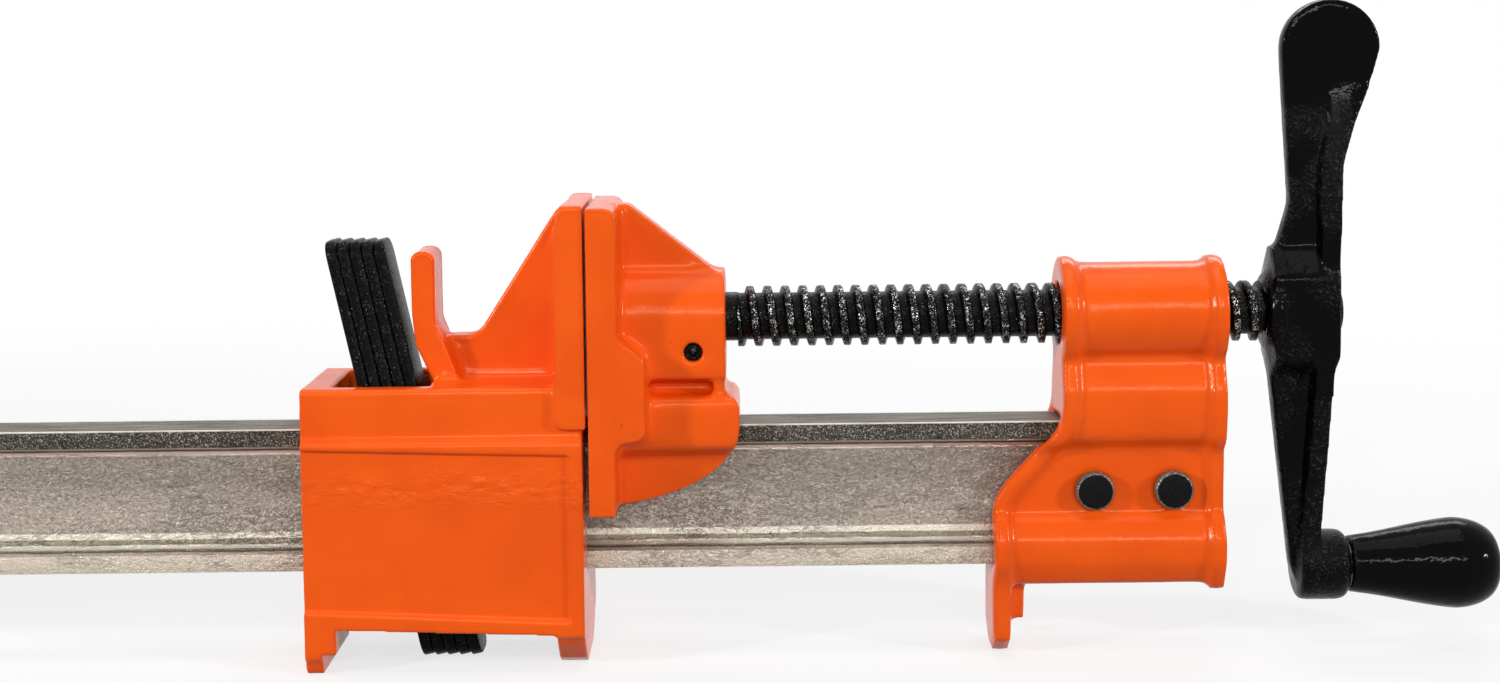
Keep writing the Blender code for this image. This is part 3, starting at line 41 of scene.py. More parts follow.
# Sizes repeated from the part's source
BAR_UNDER = 26.5 * MM
BAR_TOP = 67.8 * MM
BAR_HALF = 7.95 * MM
SCREW_Z = 97.9 * MM
SCREW_PITCH = 5.08 * MM
SCREW_ROOT = 6.75 * MM
SCREW_CREST = 8.73 * MM
SCREW_NECK = 7.0 * MM
NOSE_TIP = 5.2 * MM
NOSE_TAPER = 3.0 * MM
NOSE_GROOVE_LEFT = -90.5 * MM
NOSE_GROOVE_RIGHT = -84.5 * MM
THREAD_LEFT = -74.8 * MM
THREAD_RIGHT = 75.6 * MM
TENON_HEAD = 7.0 * MM
TENON_HEAD_HEIGHT = 1.2 * MM
RIVET_Z = 47.65 * MM
GRIP_Z = 23.4 * MM
GRIP_NECK = 8.1 * MM
GRIP_END_FLAT = 6.1 * MM
GRIP_BELLY_SHARE = 0.72
GRIP_RECESS = 5.6 * MM
GRIP_RECESS_DEPTH = 3.2 * MM
SPRING_WIRE = 0.55 * MM
SPRING_RADIUS = 3.7 * MM
SPRING_TURNS = 7

# Sizes of the scene alone
GRIP_BELLY = 13.05 * MM
SCREW_BORE_KEPT = 10.2 * MM
JAW_SIDE = 19 * MM
PANEL_SUNK_FURTHER = 0.6 * MM
CAST_VOXEL = 0.5 * MM
CRANK_RIB_LEFT = 84

# The crank above its hub, in mm: height, the rib's inner edge, the right edge,
# and how far each of the two edges curves left
CRANK_CURVE = (
    (122, 91.0, 96.8, 0.0, 0.0),
    (132, 91.9, 97.7, 1.3, 0.3),
    (143, 93.1, 99.8, 1.6, 1.2),
    (152, 97.9, 102.9, 4.4, 1.3),
    (160, 102.1, 105.5, 7.4, 0.6),
    (166, 103.6, 106.7, 7.4, 0.0),
    (172, 103.6, 107.0, 0.0, 0.0),
)

# Colours used more than once
OXIDE_BLACK = (0.0015, 0.0015, 0.0015)
ENAMEL_BLACK = (0.0006, 0.0006, 0.0006)

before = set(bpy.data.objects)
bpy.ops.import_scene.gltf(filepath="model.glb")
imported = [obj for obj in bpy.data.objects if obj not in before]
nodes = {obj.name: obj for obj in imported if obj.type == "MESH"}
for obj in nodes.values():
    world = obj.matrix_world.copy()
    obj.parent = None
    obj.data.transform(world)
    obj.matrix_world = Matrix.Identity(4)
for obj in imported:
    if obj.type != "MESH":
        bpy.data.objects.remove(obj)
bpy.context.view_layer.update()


# Shader building


class Value:
    """A shader socket that takes part in sums written in Python."""

    def __init__(self, tree, socket):
        self.tree = tree
        self.socket = socket

    def math(self, operation, *values):
        made = self.tree.nodes.new("ShaderNodeMath")
        made.operation = operation
        for place, value in zip(made.inputs, values):
            feed(self.tree, place, value)
        return Value(self.tree, made.outputs[0])

    def __add__(self, other):
        return self.math("ADD", self, other)

    def __sub__(self, other):
        return self.math("SUBTRACT", self, other)

    def __rsub__(self, other):
        return self.math("SUBTRACT", other, self)

    def __mul__(self, other):
        return self.math("MULTIPLY", self, other)

    def __pow__(self, other):
        return self.math("POWER", self, other)

    def __abs__(self):
        return self.math("ABSOLUTE", self)

    __radd__ = __add__
    __rmul__ = __mul__

    def between(self, low, high):
        """0 below low, 1 above high, and a soft step from one to the other."""
        made = self.tree.nodes.new("ShaderNodeMapRange")
        made.interpolation_type = "SMOOTHSTEP"
        feed(self.tree, made.inputs["Value"], self)
        made.inputs["From Min"].default_value = low
        made.inputs["From Max"].default_value = high
        return Value(self.tree, made.outputs["Result"])


def feed(tree, place, value):
    """Links a value to a socket, or sets the socket to a number, a colour or a direction."""
    if isinstance(value, Value):
        tree.links.new(value.socket, place)
    elif isinstance(value, bpy.types.NodeSocket):
        tree.links.new(value, place)
    else:
        place.default_value = value


class Finish:
    """A material whose patterns follow the piece's own coordinates."""

    def __init__(self, name, colour, metallic, roughness, **constants):
        self.material = bpy.data.materials.new(name)
        self.material.use_nodes = True
        self.tree = self.material.node_tree
        self.surface = self.tree.nodes["Principled BSDF"]
        self.surface.inputs["Base Color"].default_value = (*colour, 1)
        self.surface.inputs["Metallic"].default_value = metallic
        self.surface.inputs["Roughness"].default_value = roughness
        for place, value in constants.items():
            self.surface.inputs[place.replace("_", " ")].default_value = value
        self.material.diffuse_color = (*colour, 1)
        self.place = self.node("TexCoord").outputs["Object"]

    def node(self, kind, settings=None, **values):
        """A shader node with its settings and inputs; i0 stands for the input numbered 0."""
        made = self.tree.nodes.new("ShaderNode" + kind)
        for setting, choice in (settings or {}).items():
            setattr(made, setting, choice)
        for place, value in values.items():
            numbered = place[0] == "i" and place[1:].isdigit()
            key = int(place[1:]) if numbered else place.replace("_", " ")
            feed(self.tree, made.inputs[key], value)
        return made

    def at(self, stretch=(1, 1, 1), shift=(0, 0, 0)):
        """The piece's coordinates, stretched so that a pattern runs along one axis."""
        made = self.node("Mapping", Vector=self.place, Scale=stretch, Location=shift)
        return made.outputs["Vector"]

    def noise(
        self, size, detail=3.0, roughness=0.55, distortion=0.0, stretch=(1, 1, 1), shift=(0, 0, 0)
    ):
        """Noise about 0.5 whose lumps are about size metres across."""
        made = self.node(
            "TexNoise", Vector=self.at(stretch, shift), Scale=1 / size, Detail=detail,
            Roughness=roughness, Distortion=distortion,
        )
        return Value(self.tree, made.outputs["Fac"])

    def cells(self, size):
        """Distance to the nearest of many scattered points, about size metres apart."""
        made = self.node("TexVoronoi", Vector=self.at(), Scale=1 / size)
        return Value(self.tree, made.outputs["Distance"])

    def along(self, axis):
        """The piece's own X, Y or Z, in metres."""
        return Value(self.tree, self.node("SeparateXYZ", Vector=self.place).outputs[axis])

    def mix(self, share, first, second):
        """Two colours mixed by a share, 0 for the first."""
        made = self.node("Mix", {"data_type": "RGBA"}, Factor=share)
        for place, colour in ((made.inputs[6], first), (made.inputs[7], second)):
            is_socket = isinstance(colour, bpy.types.NodeSocket)
            feed(self.tree, place, colour if is_socket else (*colour, 1))
        return made.outputs[2]

    def set(self, place, value):
        feed(self.tree, self.surface.inputs[place], value)

    def relief(self, *layers):
        """Height layers, each a value from 0 to 1 with its depth in metres, added up."""
        total = None
        for height, depth in layers:
            layer = height * depth
            total = layer if total is None else total + layer
        bump = self.node("Bump", Height=total * 1000, Distance=MM, Strength=1.0)
        self.set("Normal", bump.outputs["Normal"])


# Finishes


def orange_enamel():
    """Thick glossy enamel over a sand casting, with a rough band across the sliding jaw's sides."""
    paint = Finish(
        "orange_enamel", (0.86, 0.1, 0.004), 0.0, 0.2,
        Specular_IOR_Level=0.2, Specular_Tint=(1, 0.78, 0.5, 1),
    )
    lumps = paint.noise(7 * MM, 2.0, 0.5)
    peel = paint.noise(1.6 * MM, 2.0, 0.5)
    grain = paint.noise(0.6 * MM, 2.0, 0.6)
    patches = paint.noise(30 * MM, 3.0, 0.6).between(0.3, 0.7)
    chipped = paint.noise(24 * MM).between(0.52, 0.6)
    chips = (1 - paint.cells(6.5 * MM).between(0.035, 0.06)) * chipped
    ripple = paint.noise(1.7 * MM, 3.0, 0.6, 1.0, stretch=(0.55, 1, 1), shift=(0.4, 0.3, 0.2))
    wander = paint.noise(14 * MM, 2.0, 0.5) * 8 * MM
    band_height = 56 * MM
    jaw_side = 1 - paint.along("X").between(-117.5 * MM, -116.5 * MM)
    jaw_side = jaw_side * abs(paint.along("Y")).between(JAW_SIDE, JAW_SIDE + MM)
    off_band = abs(paint.along("Z") + wander - band_height).between(2.5 * MM, 8 * MM)
    rough_band = (1 - off_band) * jaw_side
    tone = paint.mix(patches, (0.79, 0.084, 0.004), (0.86, 0.103, 0.006))
    paint.set("Base Color", paint.mix(chips * 0.6, tone, (0.25, 0.03, 0.004)))
    paint.set("Roughness", 0.12 + 0.12 * peel + 0.05 * patches)
    paint.relief(
        (lumps, 0.1 * MM), (peel, 0.05 * MM), (grain, 0.003 * MM), (chips, -0.04 * MM),
        (ripple * rough_band, 0.42 * MM),
    )
    return paint.material


def blackened_steel(name="blackened_steel", specks=0.4, gloss=0.05, worn=None):
    """Black oxide on rough steel, a little brown, with specks of bright metal where it has worn."""
    steel = Finish(name, OXIDE_BLACK, 0.0, 0.3, Specular_IOR_Level=gloss)
    rough = steel.noise(1.1 * MM, 4.0, 0.65)
    fine = steel.noise(0.4 * MM, 2.0, 0.6)
    pale = steel.noise(0.42 * MM, 3.0, 0.6, shift=(0.3, 0.1, 0.2))
    patch = steel.noise(3.5 * MM, 3.0, 0.6, shift=(0.7, 0.2, 0.1)).between(0.4, 0.62)
    brown = steel.noise(4 * MM, 3.0, 0.6, shift=(0.1, 0.5, 0.2)).between(0.56, 0.70)
    base = steel.mix(brown * 0.35, OXIDE_BLACK, (0.012, 0.007, 0.005))
    bright = pale.between(0.63, 0.67) * (0.25 + 0.75 * patch) * specks
    if worn:
        bright = bright + worn(steel, pale)
    bright = bright.between(0, 1)
    steel.set("Base Color", steel.mix(bright, base, (0.80, 0.78, 0.73)))
    steel.set("Metallic", bright * 0.8)
    steel.set("Roughness", 0.14 + 0.26 * rough)
    steel.relief((rough, 0.2 * MM), (fine, 0.06 * MM))
    return steel.material


def worn_crests(steel, pale):
    """The screw's thread crests, where the oxide has rubbed off in patches."""
    height = steel.along("Z") - SCREW_Z
    across = steel.along("Y")
    radius = (height * height + across * across) ** 0.5
    crest = radius.between(8.2 * MM, 8.55 * MM)
    patch = steel.noise(2.4 * MM, 2.0, 0.6, shift=(0.2, 0.6, 0.3)).between(0.45, 0.6)
    return crest * (0.2 + 0.6 * patch) * pale.between(0.51, 0.62)


def worn_rim(x):
    """The rim of a rivet's head, which the hammer left bright."""
    def rim(steel, pale):
        along = steel.along("X") - x
        height = steel.along("Z") - RIVET_Z
        radius = (along * along + height * height) ** 0.5
        return radius.between(4.75 * MM, 5.0 * MM) * (0.2 + 0.25 * pale.between(0.5, 0.6))
    return rim


def black_enamel():
    """Gloss black enamel over a casting, pebbled where the mould was rough."""
    paint = Finish("black_enamel", ENAMEL_BLACK, 0.0, 0.1, Specular_IOR_Level=0.06)
    lumps = paint.noise(6 * MM, 2.0, 0.5)
    peel = paint.noise(2.4 * MM, 2.0, 0.5)
    pebble = paint.noise(1.0 * MM, 3.0, 0.6)
    rough_mould = paint.noise(20 * MM, 2.0, 0.5, shift=(0.2, 0.4, 0.1)).between(0.36, 0.55)
    off_the_grip = 1 - paint.along("X").between(100 * MM, 104 * MM)
    under_the_lobe = 1 - paint.along("Z").between(150 * MM, 162 * MM)
    mould = rough_mould * off_the_grip * under_the_lobe
    # Pale grey on the pebbles' tops where the mould was rough: painted glints, standing in for light
    # caught by the pebbles
    crests = pebble.between(0.57, 0.64) * mould
    paint.set("Base Color", paint.mix(crests * 0.7, ENAMEL_BLACK, (0.03, 0.03, 0.03)))
    paint.set("Roughness", 0.05 + 0.07 * pebble)
    paint.relief((lumps, 0.12 * MM), (peel, 0.14 * MM), (pebble * mould, 0.5 * MM))
    return paint.material


def plated_steel():
    """Nickel plate, dulled."""
    plate = Finish("plated_steel", (0.42, 0.39, 0.34), 0.9, 0.4)
    fine = plate.noise(0.5 * MM, 3.0, 0.6)
    tone = plate.noise(5 * MM, 3.0, 0.6).between(0.3, 0.7)
    plate.set("Base Color", plate.mix(tone, (0.30, 0.275, 0.24), (0.46, 0.43, 0.38)))
    plate.set("Roughness", 0.3 + 0.25 * fine)
    plate.relief((fine, 0.03 * MM))
    return plate.material


def rolled_bar():
    """Nickel plate over a hot-rolled bar: wrinkled, with painted shade and painted highlights in its
    wrinkles and along its edges, and dark on the upper flange, partly as scale and partly as painted
    shade.
    """
    bar = Finish("rolled_bar", (0.30, 0.26, 0.215), 0.7, 0.36, Specular_IOR_Level=0.12)
    up = bar.along("Z")
    out = abs(bar.along("Y"))

    # Patterns
    wrinkle = bar.noise(0.85 * MM, 3.0, 0.65, 0.7, stretch=(0.8, 1, 1))
    fine = bar.noise(0.5 * MM, 2.0, 0.6)
    waves = bar.noise(7 * MM, 2.0, 0.5, stretch=(0.35, 1, 1))
    creases = bar.noise(3 * MM, 4.0, 0.62, 1.2, stretch=(0.3, 1, 1), shift=(0.1, 0.2, 0.4))
    creases = creases.between(0.58, 0.63)
    curls = bar.noise(2.4 * MM, 4.0, 0.6, 0.9, stretch=(0.5, 1, 1), shift=(0.5, 0.2, 0.1))
    curled = bar.noise(11 * MM, 2.0, 0.5, stretch=(0.35, 1, 1), shift=(0.1, 0.7, 0.2))
    seams = (1 - abs(curls - 0.5).between(0.004, 0.04)) * curled.between(0.44, 0.58)
    valleys = 1 - wrinkle.between(0.38, 0.48)
    ridges = wrinkle.between(0.54, 0.62)
    glints = fine.between(0.55, 0.62)
    streak = bar.noise(2.2 * MM, 4.0, 0.65, stretch=(0.12, 1, 1), shift=(0.6, 0.1, 0.3))
    ragged = (streak - 0.5) * 0.9 * MM

    def band(height, half):
        """A stripe along the bar, with an uneven edge."""
        return 1 - abs(up + ragged - height).between(half * 0.7, half * 1.3)

    # Places
    flange = up.between(BAR_TOP - 5.4 * MM, BAR_TOP - 5.1 * MM)
    roof = up.between(BAR_TOP - 0.45 * MM, BAR_TOP - 0.15 * MM)
    top_edge = roof * out.between(BAR_HALF - 1.0 * MM, BAR_HALF - 0.7 * MM)
    over_the_foot = up.between(BAR_UNDER + 5.5 * MM, BAR_UNDER + 5.9 * MM)

    # Colours, with painted shade and painted highlights standing in for the light on the wrinkles and
    # edges
    # Painted shade in the wrinkles' valleys and creases, painted highlights on their ridges and seams
    web = bar.mix(valleys * 0.45, (0.28, 0.241, 0.2), (0.085, 0.071, 0.057))
    web = bar.mix(ridges * 0.4, web, (0.54, 0.49, 0.43))
    web = bar.mix(seams * 0.45, web, (0.62, 0.57, 0.50))
    web = bar.mix(creases * 0.15, web, (0.07, 0.06, 0.05))
    # The lower flange's front is painted lighter, a painted reflection of the light, with painted
    # shade in its creases and valleys
    foot = bar.mix(creases * 0.4, (0.50, 0.435, 0.355), (0.16, 0.135, 0.11))
    foot = bar.mix(valleys * 0.25, foot, (0.22, 0.19, 0.15))
    tone = bar.mix(over_the_foot, foot, web)
    # Painted stripes along the bar: painted highlights where the fillets and flange edges catch the
    # light, painted shadow lines just under them
    for height, half, share, colour in (
        (BAR_TOP - 7.6 * MM, 0.75 * MM, 0.9, (0.70, 0.56, 0.48)),
        (BAR_TOP - 6.4 * MM, 0.38 * MM, 0.92, (0.035, 0.028, 0.022)),
        (BAR_UNDER + 9.4 * MM, 0.9 * MM, 0.8, (0.66, 0.62, 0.52)),
        (BAR_UNDER + 7.8 * MM, 0.7 * MM, 0.75, (0.19, 0.17, 0.115)),
        (BAR_UNDER + 6.6 * MM, 0.4 * MM, 0.9, (0.78, 0.74, 0.64)),
        (BAR_UNDER + 5.8 * MM, 0.14 * MM, 0.7, (0.06, 0.05, 0.04)),
    ):
        tone = bar.mix(band(height, half) * share, tone, colour)
    # The upper flange is painted dark, partly as scale and partly as painted shade, with painted
    # glints and painted ridge highlights on it, and a painted highlight along its lower edge
    painted_flange_glints = (ridges * 0.3 + glints * 0.55).between(0, 1)
    tone = bar.mix(flange, tone, bar.mix(painted_flange_glints, (0.04, 0.034, 0.028), (0.52, 0.48, 0.42)))
    tone = bar.mix(band(BAR_TOP - 5.45 * MM, 0.4 * MM) * 0.9, tone, (0.62, 0.55, 0.47))
    top = bar.mix(streak.between(0.4, 0.62), (0.10, 0.088, 0.062), (0.23, 0.205, 0.155))
    tone = bar.mix(roof, tone, top)
    # Painted highlight along the edges of the bar's top face
    tone = bar.mix(top_edge * 0.9, tone, (0.88, 0.84, 0.76))
    bar.set("Base Color", tone)
    bar.set("Metallic", (0.75 - 0.45 * flange) * (1 - roof))
    bar.set("Roughness", 0.26 + 0.24 * fine)

    # The strip between web and flange is rolled smooth
    even = 1 - up.between(BAR_TOP - 8.2 * MM, BAR_TOP - 7.9 * MM) * (1 - flange)
    bar.relief(
        (wrinkle * even, 0.42 * MM), (fine, 0.14 * MM), (waves, 0.12 * MM), (seams, 0.3 * MM)
    )
    return bar.material


# Working on meshes


def mesh_copy(node):
    """A CAD node's mesh as one connected surface, in a bmesh."""
    bm = bmesh.new()
    bm.from_mesh(nodes[node].data)
    bmesh.ops.remove_doubles(bm, verts=bm.verts, dist=0.002 * MM)
    return bm


def new_piece(name, bm, finish, body, node):
    """Gives a bmesh its object, its finish, the body that it rides on and the node it replaces."""
    mesh = bpy.data.meshes.new(name)
    bm.to_mesh(mesh)
    bm.free()
    mesh.shade_smooth()
    mesh.materials.append(finish)
    piece = bpy.data.objects.new(name, mesh)
    bpy.context.scene.collection.objects.link(piece)
    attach(piece, body)
    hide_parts(node)
    return piece


def apply_modifiers(piece):
    """Turns a piece's modifiers into its mesh."""
    graph = bpy.context.evaluated_depsgraph_get()
    made = bpy.data.meshes.new_from_object(piece.evaluated_get(graph))
    old = piece.data
    piece.modifiers.clear()
    piece.data = made
    bpy.data.meshes.remove(old)


def ramp(value, start, length):
    """0 up to start, 1 from start + length on, and a straight rise between them."""
    return min(max((value - start) / length, 0), 1)


# How far a casting leaves its solid


def cast_lumps(place):
    """How far the sand left a casting's surface from its pattern, in metres."""
    broad = noise.noise(place / (13 * MM))
    small = noise.noise(place / (4.5 * MM))
    return (0.07 * broad + 0.025 * small) * MM


def jaw_lumps(place):
    """A casting's lumps, with the rough band across the sliding jaw's sides."""
    wander = 3 * MM * noise.noise(place / (20 * MM))
    band_height = 53 * MM
    band = 1 - min(abs(place.z - band_height - wander) / (5 * MM), 1)
    ripples = noise.noise(Vector((place.x, place.y, place.z * 1.8)) / (3.4 * MM))
    side = ramp(abs(place.y), JAW_SIDE, 2 * MM)
    return cast_lumps(place) + 0.34 * MM * ripples * band * side


def everywhere(place):
    return 1


def clear_of_the_screw(place):
    """0 beside the screw's bore, which keeps its size, and 1 away from it."""
    return ramp(math.hypot(place.y, place.z - SCREW_Z), SCREW_BORE_KEPT, 2 * MM)


def clear_of_screw_and_bar(place):
    """0 where the pressure jaw runs on the bar or the screw, and 1 away from both."""
    off_the_bar = ramp(max(abs(place.y) - BAR_HALF, place.z - BAR_TOP), MM, 0.8 * MM)
    return clear_of_the_screw(place) * off_the_bar


def over_the_housing(place):
    """1 above the sliding jaw's housing, and 0 on its panels, whose rims stay crisp."""
    return ramp(place.z, 75 * MM, 8 * MM)


def unmoved(place):
    return Vector()


def crank_bend(place):
    """How far the crank's rib and right edge move left where the arm curves into the lobe."""
    height = place.z / MM
    across = place.x / MM
    for low, high in zip(CRANK_CURVE, CRANK_CURVE[1:]):
        if low[0] <= height < high[0]:
            step = (height - low[0]) / (high[0] - low[0])
            rib, edge, rib_move, edge_move = [a + (b - a) * step for a, b in zip(low[1:], high[1:])]
            if across < rib:
                share = ramp(across, CRANK_RIB_LEFT, rib - CRANK_RIB_LEFT)
                return Vector((-rib_move * share * share * (3 - 2 * share) * MM, 0, 0))
            share = min((across - rib) / (edge - rib), 1)
            return Vector((-(rib_move + (edge_move - rib_move) * share) * MM, 0, 0))
    return Vector()


def panel_bend(place):
    """How far the sliding jaw's sunk side panels go in past their depth in the solid."""
    out = abs(place.y)
    panel = ramp(out, 19.6 * MM, 1.6 * MM) * ramp(-out, -21.95 * MM, 0.3 * MM)
    under_the_ledge = ramp(-place.z, -67 * MM, 1.5 * MM)
    sunk = PANEL_SUNK_FURTHER * panel * under_the_ledge
    return Vector((0, -math.copysign(sunk, place.y), 0))


# Pieces


def smoothed(piece, iterations, free=None):
    """Evens out a piece's mesh, by less where free is under 1."""
    smoother = piece.modifiers.new("smoother", "SMOOTH")
    smoother.factor = 0.5
    smoother.iterations = iterations
    if free:
        group = piece.vertex_groups.new(name="free")
        for vert in piece.data.vertices:
            group.add([vert.index], free(vert.co), "REPLACE")
        smoother.vertex_group = group.name
    apply_modifiers(piece)
    piece.vertex_groups.clear()


def softened(
    node, finish, body, edge, hollow, wear,
    lumps=cast_lumps, share=everywhere, bend=unmoved, free=None,
):
    """A casting with the edges rounded and the inner corners filled that sand and paint give it.

    edge and hollow are rounds of smoothing, the first for all of the surface and the second for
    the inner corners, where ridges lose wear metres at most. share says how much of the second
    smoothing a place takes, and free how much of the first. lumps and bend move the surface.
    """
    low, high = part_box(node)
    piece = new_piece(node + "_casting", mesh_copy(node), finish, body, node)
    grid = piece.modifiers.new("grid", "REMESH")
    grid.mode = "VOXEL"
    grid.voxel_size = CAST_VOXEL
    grid.adaptivity = 0
    apply_modifiers(piece)
    smoothed(piece, edge, free)
    rounded = [vert.co.copy() for vert in piece.data.vertices]
    normals = [vert.normal.copy() for vert in piece.data.vertices]
    smoothed(piece, hollow)
    for vert, place, normal in zip(piece.data.vertices, rounded, normals):
        move = (vert.co - place) * share(place)
        rise = move.dot(normal)
        slide = move - normal * rise
        moved = place + slide + normal * (max(rise, -wear) + lumps(place)) + bend(place)
        vert.co = [min(max(moved[axis], low[axis]), high[axis]) for axis in range(3)]
    thin = piece.modifiers.new("thin", "DECIMATE")
    thin.ratio = 0.5
    apply_modifiers(piece)
    piece.data.shade_smooth()


def bevelled(node, width, segments, finish, body):
    """A CAD piece with its sharp edges broken."""
    bm = mesh_copy(node)
    bmesh.ops.dissolve_limit(
        bm, angle_limit=math.radians(1), verts=bm.verts, edges=bm.edges,
        use_dissolve_boundaries=False,
    )
    piece = new_piece(node + "_worked", bm, finish, body, node)
    bevel = piece.modifiers.new("edges", "BEVEL")
    bevel.width = width
    bevel.segments = segments
    bevel.limit_method = "ANGLE"
    bevel.angle_limit = math.radians(35)
    apply_modifiers(piece)
    piece.data.shade_smooth()
    piece.data.set_sharp_from_angle(angle=math.radians(40))


def spun_profile(bm, profile, angle, steps, advance=0.0, closed=False):
    """Spins (distance along X, radius) points about X, forward by advance metres a step."""
    verts = [bm.verts.new((along, 0, radius)) for along, radius in profile]
    edges = [bm.edges.new(pair) for pair in zip(verts, verts[1:])]
    bmesh.ops.spin(
        bm, geom=verts + edges, cent=(0, 0, 0), axis=(1, 0, 0), dvec=(advance, 0, 0),
        angle=angle, steps=steps, use_merge=closed,
    )
    bmesh.ops.remove_doubles(bm, verts=bm.verts, dist=0.001 * MM)


def fill_ends(bm):
    """Closes the open ends of a coil or thread."""
    bmesh.ops.holes_fill(bm, edges=[edge for edge in bm.edges if edge.is_boundary], sides=0)
    bmesh.ops.recalc_face_normals(bm, faces=bm.faces)


def turned(profile, height, sides):
    """A bmesh turned round a line along X, from (distance along X, radius) points."""
    bm = bmesh.new()
    spun_profile(bm, profile, 2 * math.pi, sides, closed=True)
    bmesh.ops.recalc_face_normals(bm, faces=bm.faces)
    bmesh.ops.translate(bm, verts=bm.verts, vec=(0, 0, height))
    return bm


def add_mesh(bm, other):
    """Puts one bmesh into another."""
    mesh = bpy.data.meshes.new("joined")
    other.to_mesh(mesh)
    other.free()
    bm.from_mesh(mesh)
    bpy.data.meshes.remove(mesh)


def thread():
    """The screw's thread with rounded crests, worn a little uneven, in a bmesh."""
    rise = SCREW_CREST - SCREW_ROOT
    profile = [
        (THREAD_LEFT - SCREW_PITCH + along * MM, SCREW_ROOT + rise * share)
        for along, share in (
            (0, 0), (1.95, 0), (2.15, 0.1), (2.42, 0.5), (2.62, 0.88), (2.84, 1),
            (4.34, 1), (4.56, 0.88), (4.74, 0.5), (4.98, 0.1), (SCREW_PITCH / MM, 0),
        )
    ]
    per_turn = 40
    turns = math.ceil((THREAD_RIGHT - THREAD_LEFT) / SCREW_PITCH) + 2
    bm = bmesh.new()
    spun_profile(bm, profile, 2 * math.pi * turns, turns * per_turn, SCREW_PITCH / per_turn)
    for x, side in ((THREAD_LEFT, -1), (THREAD_RIGHT, 1)):
        bmesh.ops.bisect_plane(
            bm, geom=bm.verts[:] + bm.edges[:] + bm.faces[:], dist=0.0001 * MM,
            plane_co=(x, 0, 0), plane_no=(side, 0, 0), clear_outer=True,
        )
    fill_ends(bm)
    for vert in bm.verts:
        broad = abs(noise.noise(vert.co / (2.2 * MM)))
        small = abs(noise.noise(vert.co / (0.9 * MM)))
        kept = 1 - 0.014 * broad - 0.010 * small
        vert.co.y *= kept
        vert.co.z *= kept
    bmesh.ops.translate(bm, verts=bm.verts, vec=(0, 0, SCREW_Z))
    return bm


def make_screw(finish):
    """The screw: its thread, its neck and nose, and its riveted end."""
    low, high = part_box("screw")
    bm = thread()
    nose = [
        (low.x, 0), (low.x, NOSE_TIP), (low.x + NOSE_TAPER, SCREW_NECK),
        (NOSE_GROOVE_LEFT, SCREW_NECK), (NOSE_GROOVE_LEFT, 5.5 * MM),
        (NOSE_GROOVE_RIGHT, 5.5 * MM), (NOSE_GROOVE_RIGHT, SCREW_NECK),
        (THREAD_LEFT - 0.3 * MM, SCREW_NECK), (THREAD_LEFT + 0.5 * MM, SCREW_ROOT),
        (THREAD_LEFT + 0.8 * MM, 0),
    ]
    add_mesh(bm, turned(nose, SCREW_Z, 64))
    head = high.x - TENON_HEAD_HEIGHT
    end = [
        (THREAD_RIGHT - MM, 0), (THREAD_RIGHT - MM, 4.8 * MM), (head, 4.8 * MM), (head, TENON_HEAD),
    ]
    crown = 0.9 * MM
    for step in range(7):
        angle = math.pi / 2 * step / 6
        along = high.x - crown + crown * math.sin(angle)
        end.append((along, TENON_HEAD * (0.55 + 0.45 * math.cos(angle))))
    end.append((high.x, 0))
    add_mesh(bm, turned(end, SCREW_Z, 48))
    piece = new_piece("screw_cut", bm, finish, "spindle", "screw")
    piece.data.set_sharp_from_angle(angle=math.radians(50))


def make_grip(finish):
    """The pear-shaped grip, turned smooth, with the hollow for its pin's head."""
    low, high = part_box("grip")
    length = high.x - low.x
    start = low.x + 0.1 * MM
    bore = 3.5 * MM
    profile = [(start, bore), (start, GRIP_NECK - MM)]
    for step in range(5):
        angle = math.pi / 2 * step / 4
        along = low.x + 0.9 * MM - 0.8 * MM * math.cos(angle)
        profile.append((along, GRIP_NECK - MM + MM * math.sin(angle)))
    steps = 56
    for step in range(3, steps + 1):
        share = step / steps * (2 - step / steps)
        if share < GRIP_BELLY_SHARE:
            part = share / GRIP_BELLY_SHARE
            swell = (part * part * (3 - 2 * part) + part) / 2
            radius = GRIP_NECK + (GRIP_BELLY - GRIP_NECK) * swell
        else:
            part = (share - GRIP_BELLY_SHARE) / (1 - GRIP_BELLY_SHARE)
            fall = 1 - math.sqrt(max(1 - part * part, 0))
            radius = GRIP_BELLY - (GRIP_BELLY - GRIP_END_FLAT) * fall
        profile.append((low.x + length * share, radius))
    floor = high.x - GRIP_RECESS_DEPTH
    profile += [(high.x - 0.3 * MM, 5.7 * MM), (floor, GRIP_RECESS), (floor, bore), profile[0]]
    bm = turned(profile, GRIP_Z, 96)
    new_piece("grip_turned", bm, finish, "grip", "grip")


def make_spring(finish):
    """The clutch spring as a smooth coil."""
    low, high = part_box("clutch_spring")
    middle = (low.z + high.z) / 2
    length = high.x - low.x - 2 * SPRING_WIRE
    steps = SPRING_TURNS * 28
    bm = bmesh.new()
    bmesh.ops.create_circle(bm, radius=SPRING_WIRE, segments=12, cap_ends=False)
    bmesh.ops.translate(bm, verts=bm.verts, vec=(low.x + SPRING_WIRE, SPRING_RADIUS, 0))
    bmesh.ops.spin(
        bm, geom=bm.verts[:] + bm.edges[:], cent=(0, 0, 0), axis=(1, 0, 0),
        dvec=(length / steps, 0, 0), angle=2 * math.pi * SPRING_TURNS, steps=steps,
    )
    fill_ends(bm)
    bmesh.ops.translate(bm, verts=bm.verts, vec=(0, 0, middle))
    piece = new_piece("clutch_coil", bm, finish, "sliding_jaw", "clutch_spring")
    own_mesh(piece)


